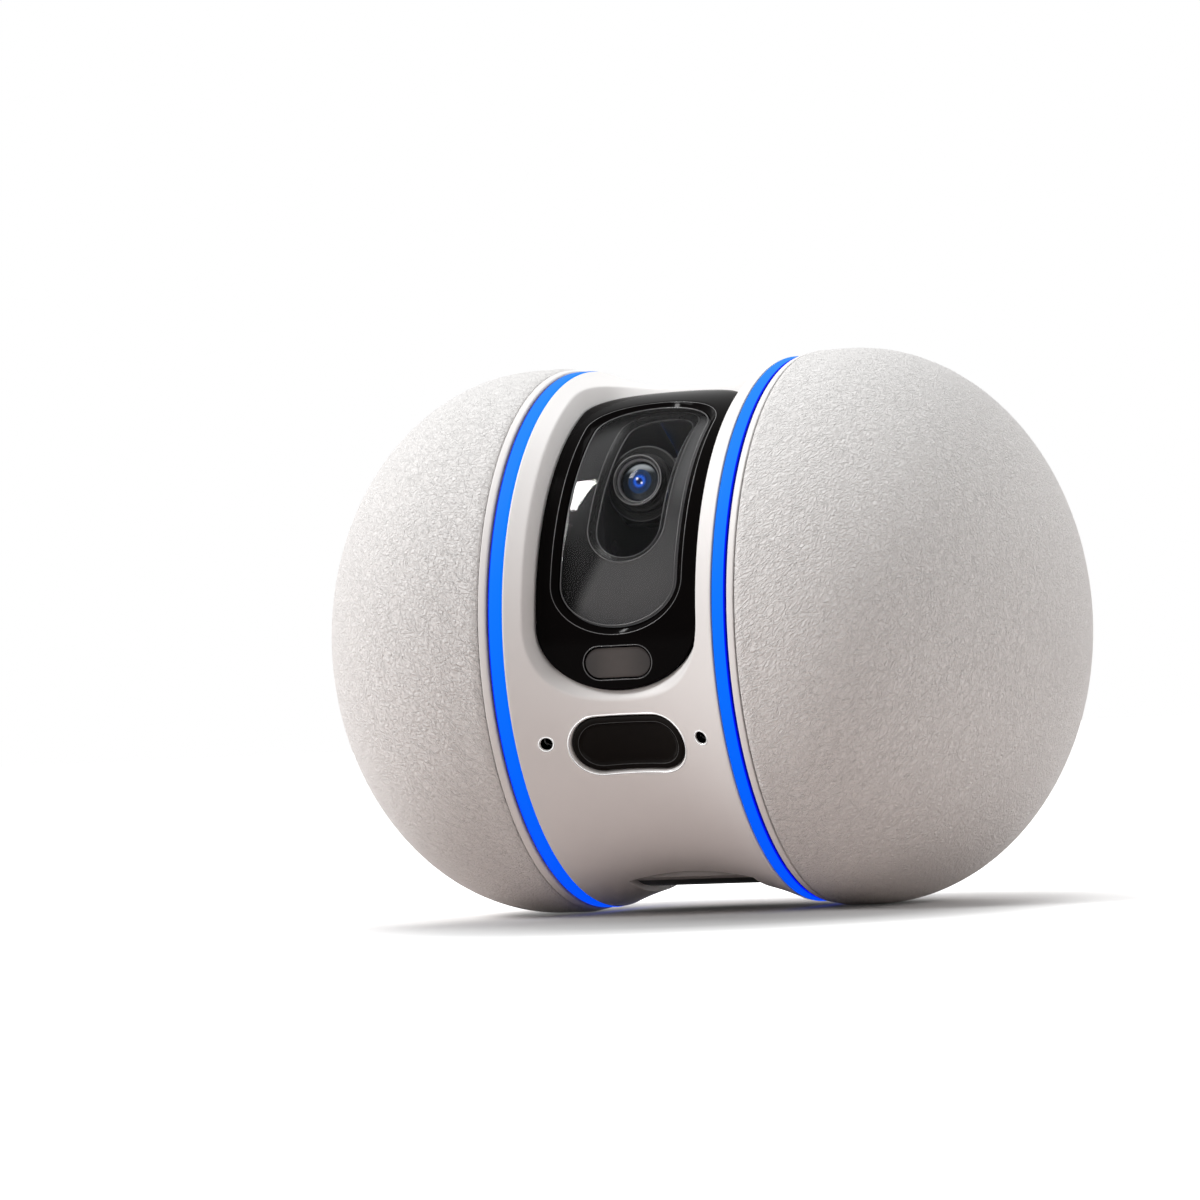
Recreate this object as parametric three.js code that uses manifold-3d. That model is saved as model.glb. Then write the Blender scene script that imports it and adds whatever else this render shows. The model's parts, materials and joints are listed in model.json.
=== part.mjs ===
// A two-wheeled rolling pet camera: a saddle-shaped body between two domed wheels.
// Millimetres. X runs along the axle, -Y is the front where the camera looks, +Z is up.
// The origin is on the floor, under the middle of the body.
import * as THREE from "three";
import { mergeVertices } from "three/addons/utils/BufferGeometryUtils.js";
import Module from "manifold-3d";

const wasm = await Module();
wasm.setup();

// Overall sizes
const OVERALL_LENGTH = 181.4;
const WHEEL_RADIUS = 65;
const BODY_LENGTH = 51.2;
const BODY_END = BODY_LENGTH / 2;
const BODY_EDGE_DROP = 1;
const BODY_EDGE_RADIUS = WHEEL_RADIUS - BODY_EDGE_DROP;
const WAIST_DROP = 5.5;
const WAIST_RADIUS = BODY_EDGE_RADIUS - WAIST_DROP;
const SHELL_WALL = 2.4;

// Fits
const FIT_GAP = 0.3;
const RUNNING_GAP = 0.5;
const CUT_PAST = 5;
const CUT_DEPTH = 8.5;
const CUT_STEP = 1.5;
const CUT_REACH = 36;
const DEEP_INSIDE = WAIST_RADIUS - CUT_DEPTH;
const CUT_MIDDLE = WAIST_RADIUS + CUT_STEP;
const FAR_OUTSIDE = BODY_EDGE_RADIUS + CUT_REACH;

// Roundness of turned pieces, in flats per turn
const WHEEL_FLATS = 32;
const BODY_FLATS = 48;
const MIDDLE_FLATS = 24;
const SMALL_FLATS = 16;
const TINY_FLATS = 8;
const SADDLE_STEPS = 6;

// Light rings at both ends of the body
const RING_WIDTH = 3.1;
const RING_DEPTH = 3;
const RING_EDGE = 0.3;
const RING_FOOT_DEPTH = 8;
const LED_BOARD_WALL = 1.5;
const LED_BOARD_DEPTH = 9.5;

// Wheels
const RIM_WIDTH = 1.7;
const RIM_DEPTH = 6.6;
const RIM_DROP = 0.5;
const SKIN_WALL = 1.6;
const HUB_WALL = 2.4;
const TREAD_WIDTH = 8.2;
const TREAD_EDGE = 1.2;
const HUB_PLATE_WALL = 2.5;
const HUB_BOSS_WALL = 3.2;
const DOME_STEPS = 8;
const DOME_INNER_STEPS = 4;

// Axle bolts and wheel bearings
const AXLE_RADIUS = 4;
const AXLE_HEAD_RADIUS = 7;
const AXLE_HEAD_WIDTH = 2.7;
const BEARING_RADIUS = 9.5;
const BEARING_WIDTH = 6;
const BEARING_LIP = 1.3;
const BEARING_LIP_WALL = 1.5;

// End plates that close the body and carry the wheels
const END_PLATE_WALL = 2.5;
const END_PLATE_INSET = 0.5;
const END_BOSS_RADIUS = 8;
const END_BOSS_INWARD = 5.6;
const END_BOSS_OUTWARD = 1.3;

// Wheel drive
const GEAR_MODULE = 1.25;
const WHEEL_GEAR_TEETH = 24;
const PINION_TEETH = 8;
const GEAR_WIDTH = 4.2;
const GEAR_BORE = 9;
const GEAR_BACKLASH = 0.1;
const TOOTH_TIP_SHARE = 0.9;
const TOOTH_ROOT_SHARE = 1.2;
const TOOTH_CREST_SHARE = 0.13;
const TOOTH_FOOT_SHARE = 0.29;
const MOTOR_RADIUS = 10;
const MOTOR_GAP = 2.8;
const MOTOR_ANGLE = 30;
const SHAFT_RADIUS = 1.5;
const SHAFT_SEAT = 6;

// Camera window, as places on the body: x along the axle, angles up from the front
const WINDOW_MARGIN = 5.9;
const WINDOW_HALF_WIDTH = BODY_END - WINDOW_MARGIN;
const WINDOW_LOW_ANGLE = -12.8;
const WINDOW_HIGH_ANGLE = 80;
const WINDOW_END_ANGLE = 15;
const FASCIA_SINK = 0.4;
const FASCIA_RADIUS = WAIST_RADIUS - FASCIA_SINK;
const FASCIA_WALL = 2;
const BEVEL_DEPTH = 1.1;
const BEVEL_PAST = 2;
const BEVEL_START_RADIUS = FASCIA_RADIUS - BEVEL_DEPTH;
const BEVEL_END_RADIUS = BODY_EDGE_RADIUS + BEVEL_PAST;
const BEVEL_X_SLOPE_SHARE = 0.24;
const BEVEL_HEIGHT_SLOPE_SHARE = 1.2;
const FRAME_LIP = 2.6;
const LEDGE_REACH = 1.8;
const LEDGE_WALL = 1.8;

// Smoked pane over the camera
const PANE_MARGIN = 5.2;
const PANE_HALF_WIDTH = WINDOW_HALF_WIDTH - PANE_MARGIN;
const PANE_LOW_ANGLE = 1.4;
const PANE_HIGH_ANGLE = 66.8;
const PANE_END_ANGLE = 10.5;
const PANE_SINK = 0.9;
const PANE_RADIUS = FASCIA_RADIUS - PANE_SINK;
const PANE_WALL = 0.9;
const PANE_BEVEL_DEPTH = 1.1;
const PANE_BEVEL_SLOPE_SHARE = 1.73;

// Night light window below the pane
const NIGHT_HALF_LENGTH = 8;
const NIGHT_HALF_HEIGHT = 3.5;
const NIGHT_ANGLE = -6.5;
const NIGHT_SINK = 0.2;
const NIGHT_WALL = 1.5;
const NIGHT_BOARD_HALF_LENGTH = 7;
const NIGHT_BOARD_HEIGHT = 5;
const BOARD_WALL = 1.2;

// Mask with the slot that the lens looks through
const MASK_DEPTH = 2.4;
const MASK_RADIUS = PANE_RADIUS - MASK_DEPTH;
const MASK_WALL = 1.5;
const MASK_MARGIN = 2.1;
const MASK_HALF_WIDTH = WINDOW_HALF_WIDTH - MASK_MARGIN;
const MASK_LOW_ANGLE = -0.5;
const MASK_HIGH_ANGLE = 77.5;
const MASK_END_ANGLE = 12;
const SLOT_HALF_WIDTH = 7.8;
const SLOT_LOW_ANGLE = 19;
const SLOT_HIGH_ANGLE = 69;
const SLOT_BEVEL = 1.6;

// Front sensor window under the camera window
const SENSOR_HALF_LENGTH = 14;
const SENSOR_HALF_HEIGHT = 7.1;
const SENSOR_ANGLE = -25.5;
const SENSOR_SINK = 0.5;
const SENSOR_WALL = 2.7;
const SENSOR_DISH_DEPTH = 1;
const SENSOR_DISH_MARGIN = 1.6;
const SENSOR_BOARD_HALF_LENGTH = 11;
const SENSOR_BOARD_HEIGHT = 8;

// Microphones
const MIC_MARGIN = 6.6;
const MIC_X = BODY_END - MIC_MARGIN;
const MIC_ANGLE = -23.4;
const MIC_HOLE_RADIUS = 1.35;
const MIC_RADIUS = 2.6;
const MIC_LENGTH = 2.5;
const MIC_DEPTH = 1.1;

// Tilting camera
const CAMERA_X = -1.2;
const LENS_DEPTH = 4.98;
const LENS_PLACE_ANGLE = 42.83;
const LENS_REST_ANGLE = 12;
const LENS_REACH = 12.4;
const BARREL_RADIUS = 6.1;
const BARREL_BORE = 4.7;
const BARREL_LENGTH = 4.1;
const LENS_SINK = 1.1;
const LENS_CROWN = 0.9;
const POD_RADIUS = 7.6;
const POD_HALF_LENGTH = 8.5;
const POD_EDGE = 1.6;
const NECK_RADIUS = 6.6;
const PIN_RADIUS = 2;
const BRACKET_WALL = 2;
const BRACKET_HALF_WIDTH = 5.5;
const BRACKET_FOOT = 2.5;
const TILT_GEAR_MODULE = 0.8;
const TILT_GEAR_TEETH = 20;
const TILT_PINION_TEETH = 10;
const TILT_GEAR_WIDTH = 2.2;
const TILT_MOTOR_RADIUS = 6.5;
const TILT_MOTOR_MARGIN = 2.4;
const IMAGE_BOARD_SIZE = 12;

// Chassis tray, battery, ballast and boards
const TRAY_TOP = -22;
const TRAY_WALL = 2;
const TRAY_HALF_WIDTH = 34;
const FLANGE_WALL = 2.4;
const FLANGE_HEIGHT = 10;
const FLANGE_LENGTH = 20;
const BATTERY_MARGIN = 5.6;
const BATTERY_HALF_LENGTH = BODY_END - BATTERY_MARGIN;
const BATTERY_HALF_WIDTH = 21;
const BATTERY_EDGE = 3;
const BALLAST_MARGIN = 3;
const BALLAST_HALF_LENGTH = BATTERY_HALF_LENGTH - BALLAST_MARGIN;
const BALLAST_HALF_WIDTH = 17;
const BALLAST_HEIGHT = 6;
const BALLAST_CLEARANCE = 8.2;
const MAIN_BOARD_Y = 28.5;
const MAIN_BOARD_WALL = 1.6;
const MAIN_BOARD_MARGIN = 7.1;
const MAIN_BOARD_HALF_LENGTH = BODY_END - MAIN_BOARD_MARGIN;
const MAIN_BOARD_HEIGHT = 40;
const SCREW_HEAD_RADIUS = 2.6;
const SCREW_HEAD_HEIGHT = 1.5;
const SCREW_RADIUS = 1.4;
const SCREW_PITCH = 12;

// Rear shell: speaker, power button and charging socket
const SPLIT_Y = 6;
const SPEAKER_RADIUS = 16;
const SPEAKER_Z = 6;
const SPEAKER_DEPTH = 8.5;
const SPEAKER_FRONT_Y = WAIST_RADIUS - SPEAKER_DEPTH;
const SPEAKER_LENGTH = 8;
const SPEAKER_CONE_DEPTH = 3;
const SPEAKER_CONE_RADIUS = 13;
const SPEAKER_RING_WALL = 2;
const SPEAKER_RING_DEPTH = 4;
const SPEAKER_RING_Y = SPEAKER_FRONT_Y - SPEAKER_RING_DEPTH;
const GRILLE_SLOT_HEIGHT = 1.6;
const GRILLE_PITCH = 4;
const GRILLE_ROWS = 5;
const GRILLE_HALF_WIDTH = 12;
const BUTTON_ANGLE = 45;
const BUTTON_RADIUS = 5.7;
const BUTTON_PROUD = 0.9;
const BUTTON_FLANGE_RADIUS = 7;
const BUTTON_FLANGE_WALL = 1.5;
const BUTTON_FLANGE_DROP = 0.8;
const BUTTON_TRAVEL = 1;
const SWITCH_SIZE = 6;
const SWITCH_HEIGHT = 3.5;
const SWITCH_BOARD_LENGTH = 28;
const SWITCH_BOARD_WIDTH = 12;
const POST_RADIUS = 2;
const SOCKET_Z = -19.7;
const SOCKET_HALF_WIDTH = 4.5;
const SOCKET_HALF_HEIGHT = 1.65;
const SOCKET_WALL = 0.4;
const SOCKET_LENGTH = 10;
const SOCKET_DEPTH = 6;
const SOCKET_SINK = 0.8;
const SOCKET_BOSS_WALL = 2.2;

// Underside plate with two charging contacts
const BASE_HALF_LENGTH = 15;
const BASE_HALF_ANGLE = 18;
const BASE_PROUD = 1;
const BASE_WALL = 3;
const BASE_FLAT_DROP = 0.5;
const CONTACT_X = 6;
const CONTACT_HALF_LENGTH = 2;
const CONTACT_HALF_WIDTH = 4;
const CONTACT_HEIGHT = 2;

const degrees = THREE.MathUtils.degToRad;

// The angle that a length along the body spans at a radius
const spanned = (length, radius) => THREE.MathUtils.radToDeg(length / radius);

// Places along the axle, from the middle outwards
const RING_IN = BODY_END + FIT_GAP;
const RING_OUT = RING_IN + RING_WIDTH;
const RIM_IN = RING_OUT + RUNNING_GAP;
const RIM_OUT = RIM_IN + RIM_WIDTH;
const SKIN_IN = RIM_OUT + FIT_GAP;
const DOME_X = SKIN_IN + TREAD_WIDTH;
const DOME_DEPTH = OVERALL_LENGTH / 2 - DOME_X;
const END_PLATE_OUT = BODY_END - END_PLATE_INSET;
const END_PLATE_IN = END_PLATE_OUT - END_PLATE_WALL;
const BEARING_IN = SKIN_IN + BEARING_LIP_WALL + FIT_GAP;
const BEARING_OUT = BEARING_IN + BEARING_WIDTH;
const GEAR_OUT = SKIN_IN - FIT_GAP;
const GEAR_IN = GEAR_OUT - GEAR_WIDTH;
const MOTOR_OUT = END_PLATE_IN - FIT_GAP;
const MOTOR_LENGTH = MOTOR_OUT - MOTOR_GAP;
const GEAR_DISTANCE = (GEAR_MODULE * (WHEEL_GEAR_TEETH + PINION_TEETH)) / 2 + GEAR_BACKLASH;
const PINION_Y = GEAR_DISTANCE * Math.cos(degrees(MOTOR_ANGLE));
const PINION_Z = -GEAR_DISTANCE * Math.sin(degrees(MOTOR_ANGLE));
const LENS_PLACE_RADIUS = PANE_RADIUS - LENS_DEPTH;
const LENS_FRONT_Y = -LENS_PLACE_RADIUS * Math.cos(degrees(LENS_PLACE_ANGLE));
const LENS_FRONT_Z = LENS_PLACE_RADIUS * Math.sin(degrees(LENS_PLACE_ANGLE));
const PIVOT_Y = LENS_FRONT_Y + LENS_REACH * Math.cos(degrees(LENS_REST_ANGLE));
const PIVOT_Z = LENS_FRONT_Z - LENS_REACH * Math.sin(degrees(LENS_REST_ANGLE));

// Radius of the saddle-shaped body, sunk below its surface by an inset
const saddleRadius = (x, inset) =>
  WAIST_RADIUS + (BODY_EDGE_RADIUS - WAIST_RADIUS) * (x / BODY_END) ** 2 - inset;

// A mesh's triangles as a solid that can be joined and cut
function solid(geometry) {
  const bare = geometry.clone();
  bare.deleteAttribute("normal");
  bare.deleteAttribute("uv");
  const merged = mergeVertices(bare);
  const mesh = new wasm.Mesh({
    numProp: 3,
    vertProperties: new Float32Array(merged.attributes.position.array),
    triVerts: new Uint32Array(merged.index.array),
  });
  return new wasm.Manifold(mesh);
}

// A solid's triangles as a mesh geometry
function geometryOf(body) {
  const mesh = body.getMesh();
  const geometry = new THREE.BufferGeometry();
  geometry.setAttribute("position", new THREE.BufferAttribute(new Float32Array(mesh.vertProperties), 3));
  geometry.setIndex(new THREE.BufferAttribute(new Uint32Array(mesh.triVerts), 1));
  return geometry;
}

// Turns a profile of [x, radius] points about the axle line; it is closed unless it ends on the line
function turned(profile, flats) {
  const reach = 1 / Math.cos(Math.PI / flats);
  const points = profile.map(([x, radius]) => new THREE.Vector2(radius * reach, x));
  const onLine = points[0].x === 0 && points[points.length - 1].x === 0;
  if (THREE.ShapeUtils.area(points) < 0) {
    points.reverse();
  }
  if (!onLine) {
    points.push(points[0].clone());
  }
  return new THREE.LatheGeometry(points, flats, Math.PI / flats).rotateZ(-Math.PI / 2);
}

// A turned rod along the axle line, or a tube when it has a bore
function rod(x0, x1, radius, flats, bore = 0) {
  const outside = [[x0, radius], [x1, radius]];
  const inside = bore > 0 ? [[x1, bore], [x0, bore]] : [[x1, 0], [x0, 0]];
  if (bore > 0) {
    return turned([...outside, ...inside], flats);
  }
  return turned([inside[1], ...outside, inside[0]], flats);
}

// Stands a rod that lies along the axle line on end, so that it runs along Z
const upright = (geometry) => geometry.rotateY(-Math.PI / 2);

// Turns a piece built along +Z so that it looks out of the body at an angle up from the front
const lookingOut = (geometry, angle) => geometry.rotateX(Math.PI / 2 - degrees(angle));

function box(x0, x1, y0, y1, z0, z1) {
  const geometry = new THREE.BoxGeometry(x1 - x0, y1 - y0, z1 - z0);
  return geometry.translate((x0 + x1) / 2, (y0 + y1) / 2, (z0 + z1) / 2);
}

// Extrudes an outline drawn in Y and Z along the axle line
function slab(shape, x0, x1) {
  const settings = { depth: x1 - x0, bevelEnabled: false, curveSegments: 6 };
  const geometry = new THREE.ExtrudeGeometry(shape, settings);
  const turn = new THREE.Matrix4().makeBasis(
    new THREE.Vector3(0, 1, 0),
    new THREE.Vector3(0, 0, 1),
    new THREE.Vector3(1, 0, 0),
  );
  return geometry.applyMatrix4(turn).translate(x0, 0, 0);
}

// An outline with straight sides and elliptical ends, as [x, angle] points on the body
function windowOutline({ halfWidth, low, high, endRise }, growX = 0, growUp = growX) {
  const width = halfWidth + growX;
  const rise = endRise + spanned(growUp, FASCIA_RADIUS);
  const lowEnd = low + endRise;
  const highEnd = high - endRise;
  const endSteps = 8;
  const sideSteps = 4;
  const points = [];
  for (let step = 0; step <= endSteps; step += 1) {
    const turn = (Math.PI * step) / endSteps;
    points.push([-width * Math.cos(turn), lowEnd - rise * Math.sin(turn)]);
  }
  for (let step = 1; step < sideSteps; step += 1) {
    points.push([width, lowEnd + ((highEnd - lowEnd) * step) / sideSteps]);
  }
  for (let step = 0; step <= endSteps; step += 1) {
    const turn = (Math.PI * step) / endSteps;
    points.push([width * Math.cos(turn), highEnd + rise * Math.sin(turn)]);
  }
  for (let step = 1; step < sideSteps; step += 1) {
    points.push([-width, highEnd - ((highEnd - lowEnd) * step) / sideSteps]);
  }
  return points;
}

// A pill lying along the axle line, as [x, angle] points on the body at a radius
function pillOutline({ halfLength, halfHeight, angle, radius }, grow = 0) {
  const steps = 6;
  const round = halfHeight + grow;
  const straight = halfLength - halfHeight;
  const points = [];
  for (const side of [1, -1]) {
    for (let step = 0; step <= steps; step += 1) {
      const turn = (Math.PI * step) / steps - Math.PI / 2;
      const height = spanned(side * round * Math.sin(turn), radius);
      points.push([side * (straight + round * Math.cos(turn)), angle + height]);
    }
  }
  return points;
}

// A solid that carries an outline on the body outwards from ring to ring; each ring has a radius and points
function wrapped(rings) {
  const count = rings[0].points.length;
  const positions = [];
  for (const { radius, points } of rings) {
    for (const [x, angle] of points) {
      positions.push(x, -radius * Math.cos(degrees(angle)), radius * Math.sin(degrees(angle)));
    }
  }
  const flat = rings[0].points.map(([x, angle]) => new THREE.Vector2(x, angle));
  const clockwise = THREE.ShapeUtils.area(flat) < 0;
  const last = (rings.length - 1) * count;
  const triangles = [];
  for (const [a, b, c] of THREE.ShapeUtils.triangulateShape(flat, [])) {
    triangles.push([a, c, b], [last + a, last + b, last + c]);
  }
  for (let ring = 0; ring < rings.length - 1; ring += 1) {
    for (let point = 0; point < count; point += 1) {
      const next = (point + 1) % count;
      const a = ring * count + point;
      const b = ring * count + next;
      triangles.push([a, b, b + count], [a, b + count, a + count]);
    }
  }
  const index = triangles.flatMap(([a, b, c]) => (clockwise ? [a, c, b] : [a, b, c]));
  const geometry = new THREE.BufferGeometry();
  geometry.setAttribute("position", new THREE.BufferAttribute(new Float32Array(positions), 3));
  geometry.setIndex(index);
  return geometry;
}

// The same outline at every radius, as a plain cutter
const prism = (points) => solid(wrapped([
  { radius: DEEP_INSIDE, points },
  { radius: CUT_MIDDLE, points },
  { radius: FAR_OUTSIDE, points },
]));

// A gear outline in Y and Z about a centre, with a tooth centred on an angle up from +Y
function gearShape({ teeth, module }, centreY, centreZ, toothAngle, bore) {
  const pitchRadius = (module * teeth) / 2;
  const tip = pitchRadius + TOOTH_TIP_SHARE * module;
  const root = pitchRadius - TOOTH_ROOT_SHARE * module;
  const flanks = [
    [-TOOTH_FOOT_SHARE, root],
    [-TOOTH_CREST_SHARE, tip],
    [TOOTH_CREST_SHARE, tip],
    [TOOTH_FOOT_SHARE, root],
  ];
  const pitch = (2 * Math.PI) / teeth;
  const points = [];
  for (let tooth = 0; tooth < teeth; tooth += 1) {
    for (const [share, radius] of flanks) {
      const turn = toothAngle + pitch * (tooth + share);
      points.push(new THREE.Vector2(centreY + radius * Math.cos(turn), centreZ + radius * Math.sin(turn)));
    }
  }
  const shape = new THREE.Shape(points);
  if (bore > 0) {
    shape.holes.push(new THREE.Path().absarc(centreY, centreZ, bore, 0, 2 * Math.PI, true));
  }
  return shape;
}

const WHEEL_GEAR = { teeth: WHEEL_GEAR_TEETH, module: GEAR_MODULE };
const DRIVE_PINION = { teeth: PINION_TEETH, module: GEAR_MODULE };
const TILT_GEAR = { teeth: TILT_GEAR_TEETH, module: TILT_GEAR_MODULE };
const TILT_PINION = { teeth: TILT_PINION_TEETH, module: TILT_GEAR_MODULE };

// A finish: its colour, roughness and metalness
const finish = (color, roughness, metalness) => {
  return new THREE.MeshStandardMaterial({ color, roughness, metalness });
};
const finishes = {
  whiteShell: () => finish(0xe9e7e6, 0.42, 0),
  whiteSkin: () => finish(0xe8e6e4, 0.7, 0),
  whiteRim: () => finish(0xf0eeed, 0.35, 0),
  blueLight: () => finish(0x0a78ff, 0.3, 0),
  blackGloss: () => finish(0x0c0c0d, 0.12, 0),
  smokedPane: () => finish(0x2b2c2e, 0.08, 0),
  greyLens: () => finish(0x4a4341, 0.25, 0),
  blackSatin: () => finish(0x161616, 0.45, 0),
  lensGlass: () => finish(0x14304f, 0.05, 0),
  greyPlastic: () => finish(0x6c7075, 0.55, 0),
  steel: () => finish(0xb9bcc0, 0.35, 1),
  brass: () => finish(0xc9a24a, 0.35, 1),
  gearPlastic: () => finish(0xe6e2d3, 0.5, 0),
  board: () => finish(0x1f5a3a, 0.5, 0),
  battery: () => finish(0x2d5fa8, 0.5, 0),
};

const machine = new THREE.Group();
machine.position.z = WHEEL_RADIUS;

function place(name, geometry, material, parent = machine) {
  const mesh = new THREE.Mesh(geometry, material);
  mesh.name = name;
  parent.add(mesh);
  return mesh;
}

// The solid space that the body fills, sunk by an inset and cut off at a half length
function saddle(inset, halfLength, steps) {
  const edge = [];
  for (let step = 0; step <= steps; step += 1) {
    const x = -halfLength + (2 * halfLength * step) / steps;
    edge.push([x, saddleRadius(x, inset)]);
  }
  return solid(turned([[-halfLength, 0], ...edge, [halfLength, 0]], BODY_FLATS));
}

const windowFit = {
  halfWidth: WINDOW_HALF_WIDTH,
  low: WINDOW_LOW_ANGLE,
  high: WINDOW_HIGH_ANGLE,
  endRise: WINDOW_END_ANGLE,
};
const paneFit = {
  halfWidth: PANE_HALF_WIDTH, low: PANE_LOW_ANGLE, high: PANE_HIGH_ANGLE, endRise: PANE_END_ANGLE,
};
const maskFit = {
  halfWidth: MASK_HALF_WIDTH, low: MASK_LOW_ANGLE, high: MASK_HIGH_ANGLE, endRise: MASK_END_ANGLE,
};
const slotFit = {
  halfWidth: SLOT_HALF_WIDTH,
  low: SLOT_LOW_ANGLE,
  high: SLOT_HIGH_ANGLE,
  endRise: spanned(SLOT_HALF_WIDTH, MASK_RADIUS),
};
const nightFit = {
  halfLength: NIGHT_HALF_LENGTH,
  halfHeight: NIGHT_HALF_HEIGHT,
  angle: NIGHT_ANGLE,
  radius: FASCIA_RADIUS,
};
const sensorFit = {
  halfLength: SENSOR_HALF_LENGTH,
  halfHeight: SENSOR_HALF_HEIGHT,
  angle: SENSOR_ANGLE,
  radius: WAIST_RADIUS,
};

const drum = (radius) => solid(rod(-BODY_LENGTH, BODY_LENGTH, radius, BODY_FLATS));
const sheet = (outer, inner) => drum(outer).subtract(drum(inner));

// The whole casing, before it is split into a front and a rear shell
function casing() {
  const outside = saddle(0, BODY_END, SADDLE_STEPS);
  const inside = saddle(SHELL_WALL, BODY_LENGTH, 2 * SADDLE_STEPS);
  const ledgeFloor = FASCIA_RADIUS - FASCIA_WALL - FIT_GAP;
  const frameFoot = drum(ledgeFloor - LEDGE_WALL);
  const frame = prism(windowOutline(windowFit, FRAME_LIP)).intersect(outside).subtract(frameFoot);
  const bevelRise = BEVEL_END_RADIUS - BEVEL_START_RADIUS;
  const tight = windowOutline(windowFit, FIT_GAP);
  const wide = windowOutline(
    windowFit,
    FIT_GAP + BEVEL_X_SLOPE_SHARE * bevelRise,
    FIT_GAP + BEVEL_HEIGHT_SLOPE_SHARE * bevelRise,
  );
  const bevel = solid(wrapped([
    { radius: DEEP_INSIDE, points: tight },
    { radius: BEVEL_START_RADIUS, points: tight },
    { radius: BEVEL_END_RADIUS, points: wide },
    { radius: FAR_OUTSIDE, points: wide },
  ])).subtract(drum(ledgeFloor));
  const ledgeOpening = prism(windowOutline(windowFit, -LEDGE_REACH));
  const sensorHole = prism(pillOutline(sensorFit));
  let shell = outside.subtract(inside).add(frame);
  shell = shell.subtract(bevel).subtract(ledgeOpening).subtract(sensorHole);
  for (const side of [-1, 1]) {
    const drill = rod(DEEP_INSIDE, FAR_OUTSIDE, MIC_HOLE_RADIUS, TINY_FLATS);
    const hole = upright(drill).translate(side * MIC_X, 0, 0);
    shell = shell.subtract(solid(lookingOut(hole, MIC_ANGLE)));
  }
  const baseHole = baseOutline(FIT_GAP);
  return shell.subtract(prism(baseHole));
}

// The underside plate's outline, centred straight down
function baseOutline(grow) {
  const x = BASE_HALF_LENGTH + grow;
  const angle = BASE_HALF_ANGLE + spanned(grow, WAIST_RADIUS);
  return [[-x, -90 - angle], [x, -90 - angle], [x, -90], [x, -90 + angle], [-x, -90 + angle], [-x, -90]];
}

// What the rear shell adds inside: speaker ring, switch posts and socket boss
function rearFittings() {
  const outside = saddle(SHELL_WALL / 2, BODY_END, SADDLE_STEPS);
  const ringRadius = SPEAKER_RADIUS + FIT_GAP;
  const ring = rod(SPEAKER_RING_Y, FAR_OUTSIDE, ringRadius + SPEAKER_RING_WALL, MIDDLE_FLATS, ringRadius);
  let fittings = solid(ring.rotateZ(Math.PI / 2).translate(0, 0, SPEAKER_Z));
  for (const side of [-1, 1]) {
    const x = side * (SWITCH_BOARD_LENGTH / 2 - POST_RADIUS);
    const pin = rod(switchBoardTop() + FIT_GAP, FAR_OUTSIDE, POST_RADIUS, TINY_FLATS);
    const post = upright(pin).translate(x, 0, 0);
    fittings = fittings.add(solid(lookingOut(post, 180 - BUTTON_ANGLE)));
  }
  const halfWidth = SOCKET_HALF_WIDTH + SOCKET_BOSS_WALL;
  const halfHeight = SOCKET_HALF_HEIGHT + SOCKET_BOSS_WALL;
  const low = SOCKET_Z - halfHeight;
  const boss = box(-halfWidth, halfWidth, SPEAKER_RING_Y, FAR_OUTSIDE, low, low + 2 * halfHeight);
  return fittings.add(solid(boss)).intersect(outside);
}

// Grille slots, button hole and socket hole
function rearHoles() {
  const middle = (GRILLE_ROWS - 1) / 2;
  const socketWidth = SOCKET_HALF_WIDTH + FIT_GAP;
  const socketHeight = SOCKET_HALF_HEIGHT + FIT_GAP;
  let holes = solid(box(
    -socketWidth,
    socketWidth,
    SPEAKER_RING_Y - CUT_PAST,
    FAR_OUTSIDE,
    SOCKET_Z - socketHeight,
    SOCKET_Z + socketHeight,
  ));
  for (let row = 0; row < GRILLE_ROWS; row += 1) {
    const z = SPEAKER_Z + (row - middle) * GRILLE_PITCH;
    const halfWidth = GRILLE_HALF_WIDTH * Math.sqrt(1 - ((row - middle) / (middle + 1)) ** 2);
    const half = GRILLE_SLOT_HEIGHT / 2;
    holes = holes.add(solid(box(-halfWidth, halfWidth, SPEAKER_FRONT_Y, FAR_OUTSIDE, z - half, z + half)));
  }
  const button = upright(rod(DEEP_INSIDE, FAR_OUTSIDE, BUTTON_RADIUS + FIT_GAP, SMALL_FLATS));
  return holes.add(solid(lookingOut(button, 180 - BUTTON_ANGLE)));
}

function buildShells() {
  const whole = casing();
  const far = OVERALL_LENGTH;
  const ahead = solid(box(-far, far, -far, SPLIT_Y, -far, far));
  const behind = solid(box(-far, far, SPLIT_Y + FIT_GAP, far, -far, far));
  place("front_shell", geometryOf(whole.intersect(ahead)), finishes.whiteShell());
  const rear = whole.add(rearFittings()).intersect(behind).subtract(rearHoles());
  place("rear_shell", geometryOf(rear), finishes.whiteShell());
}

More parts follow.
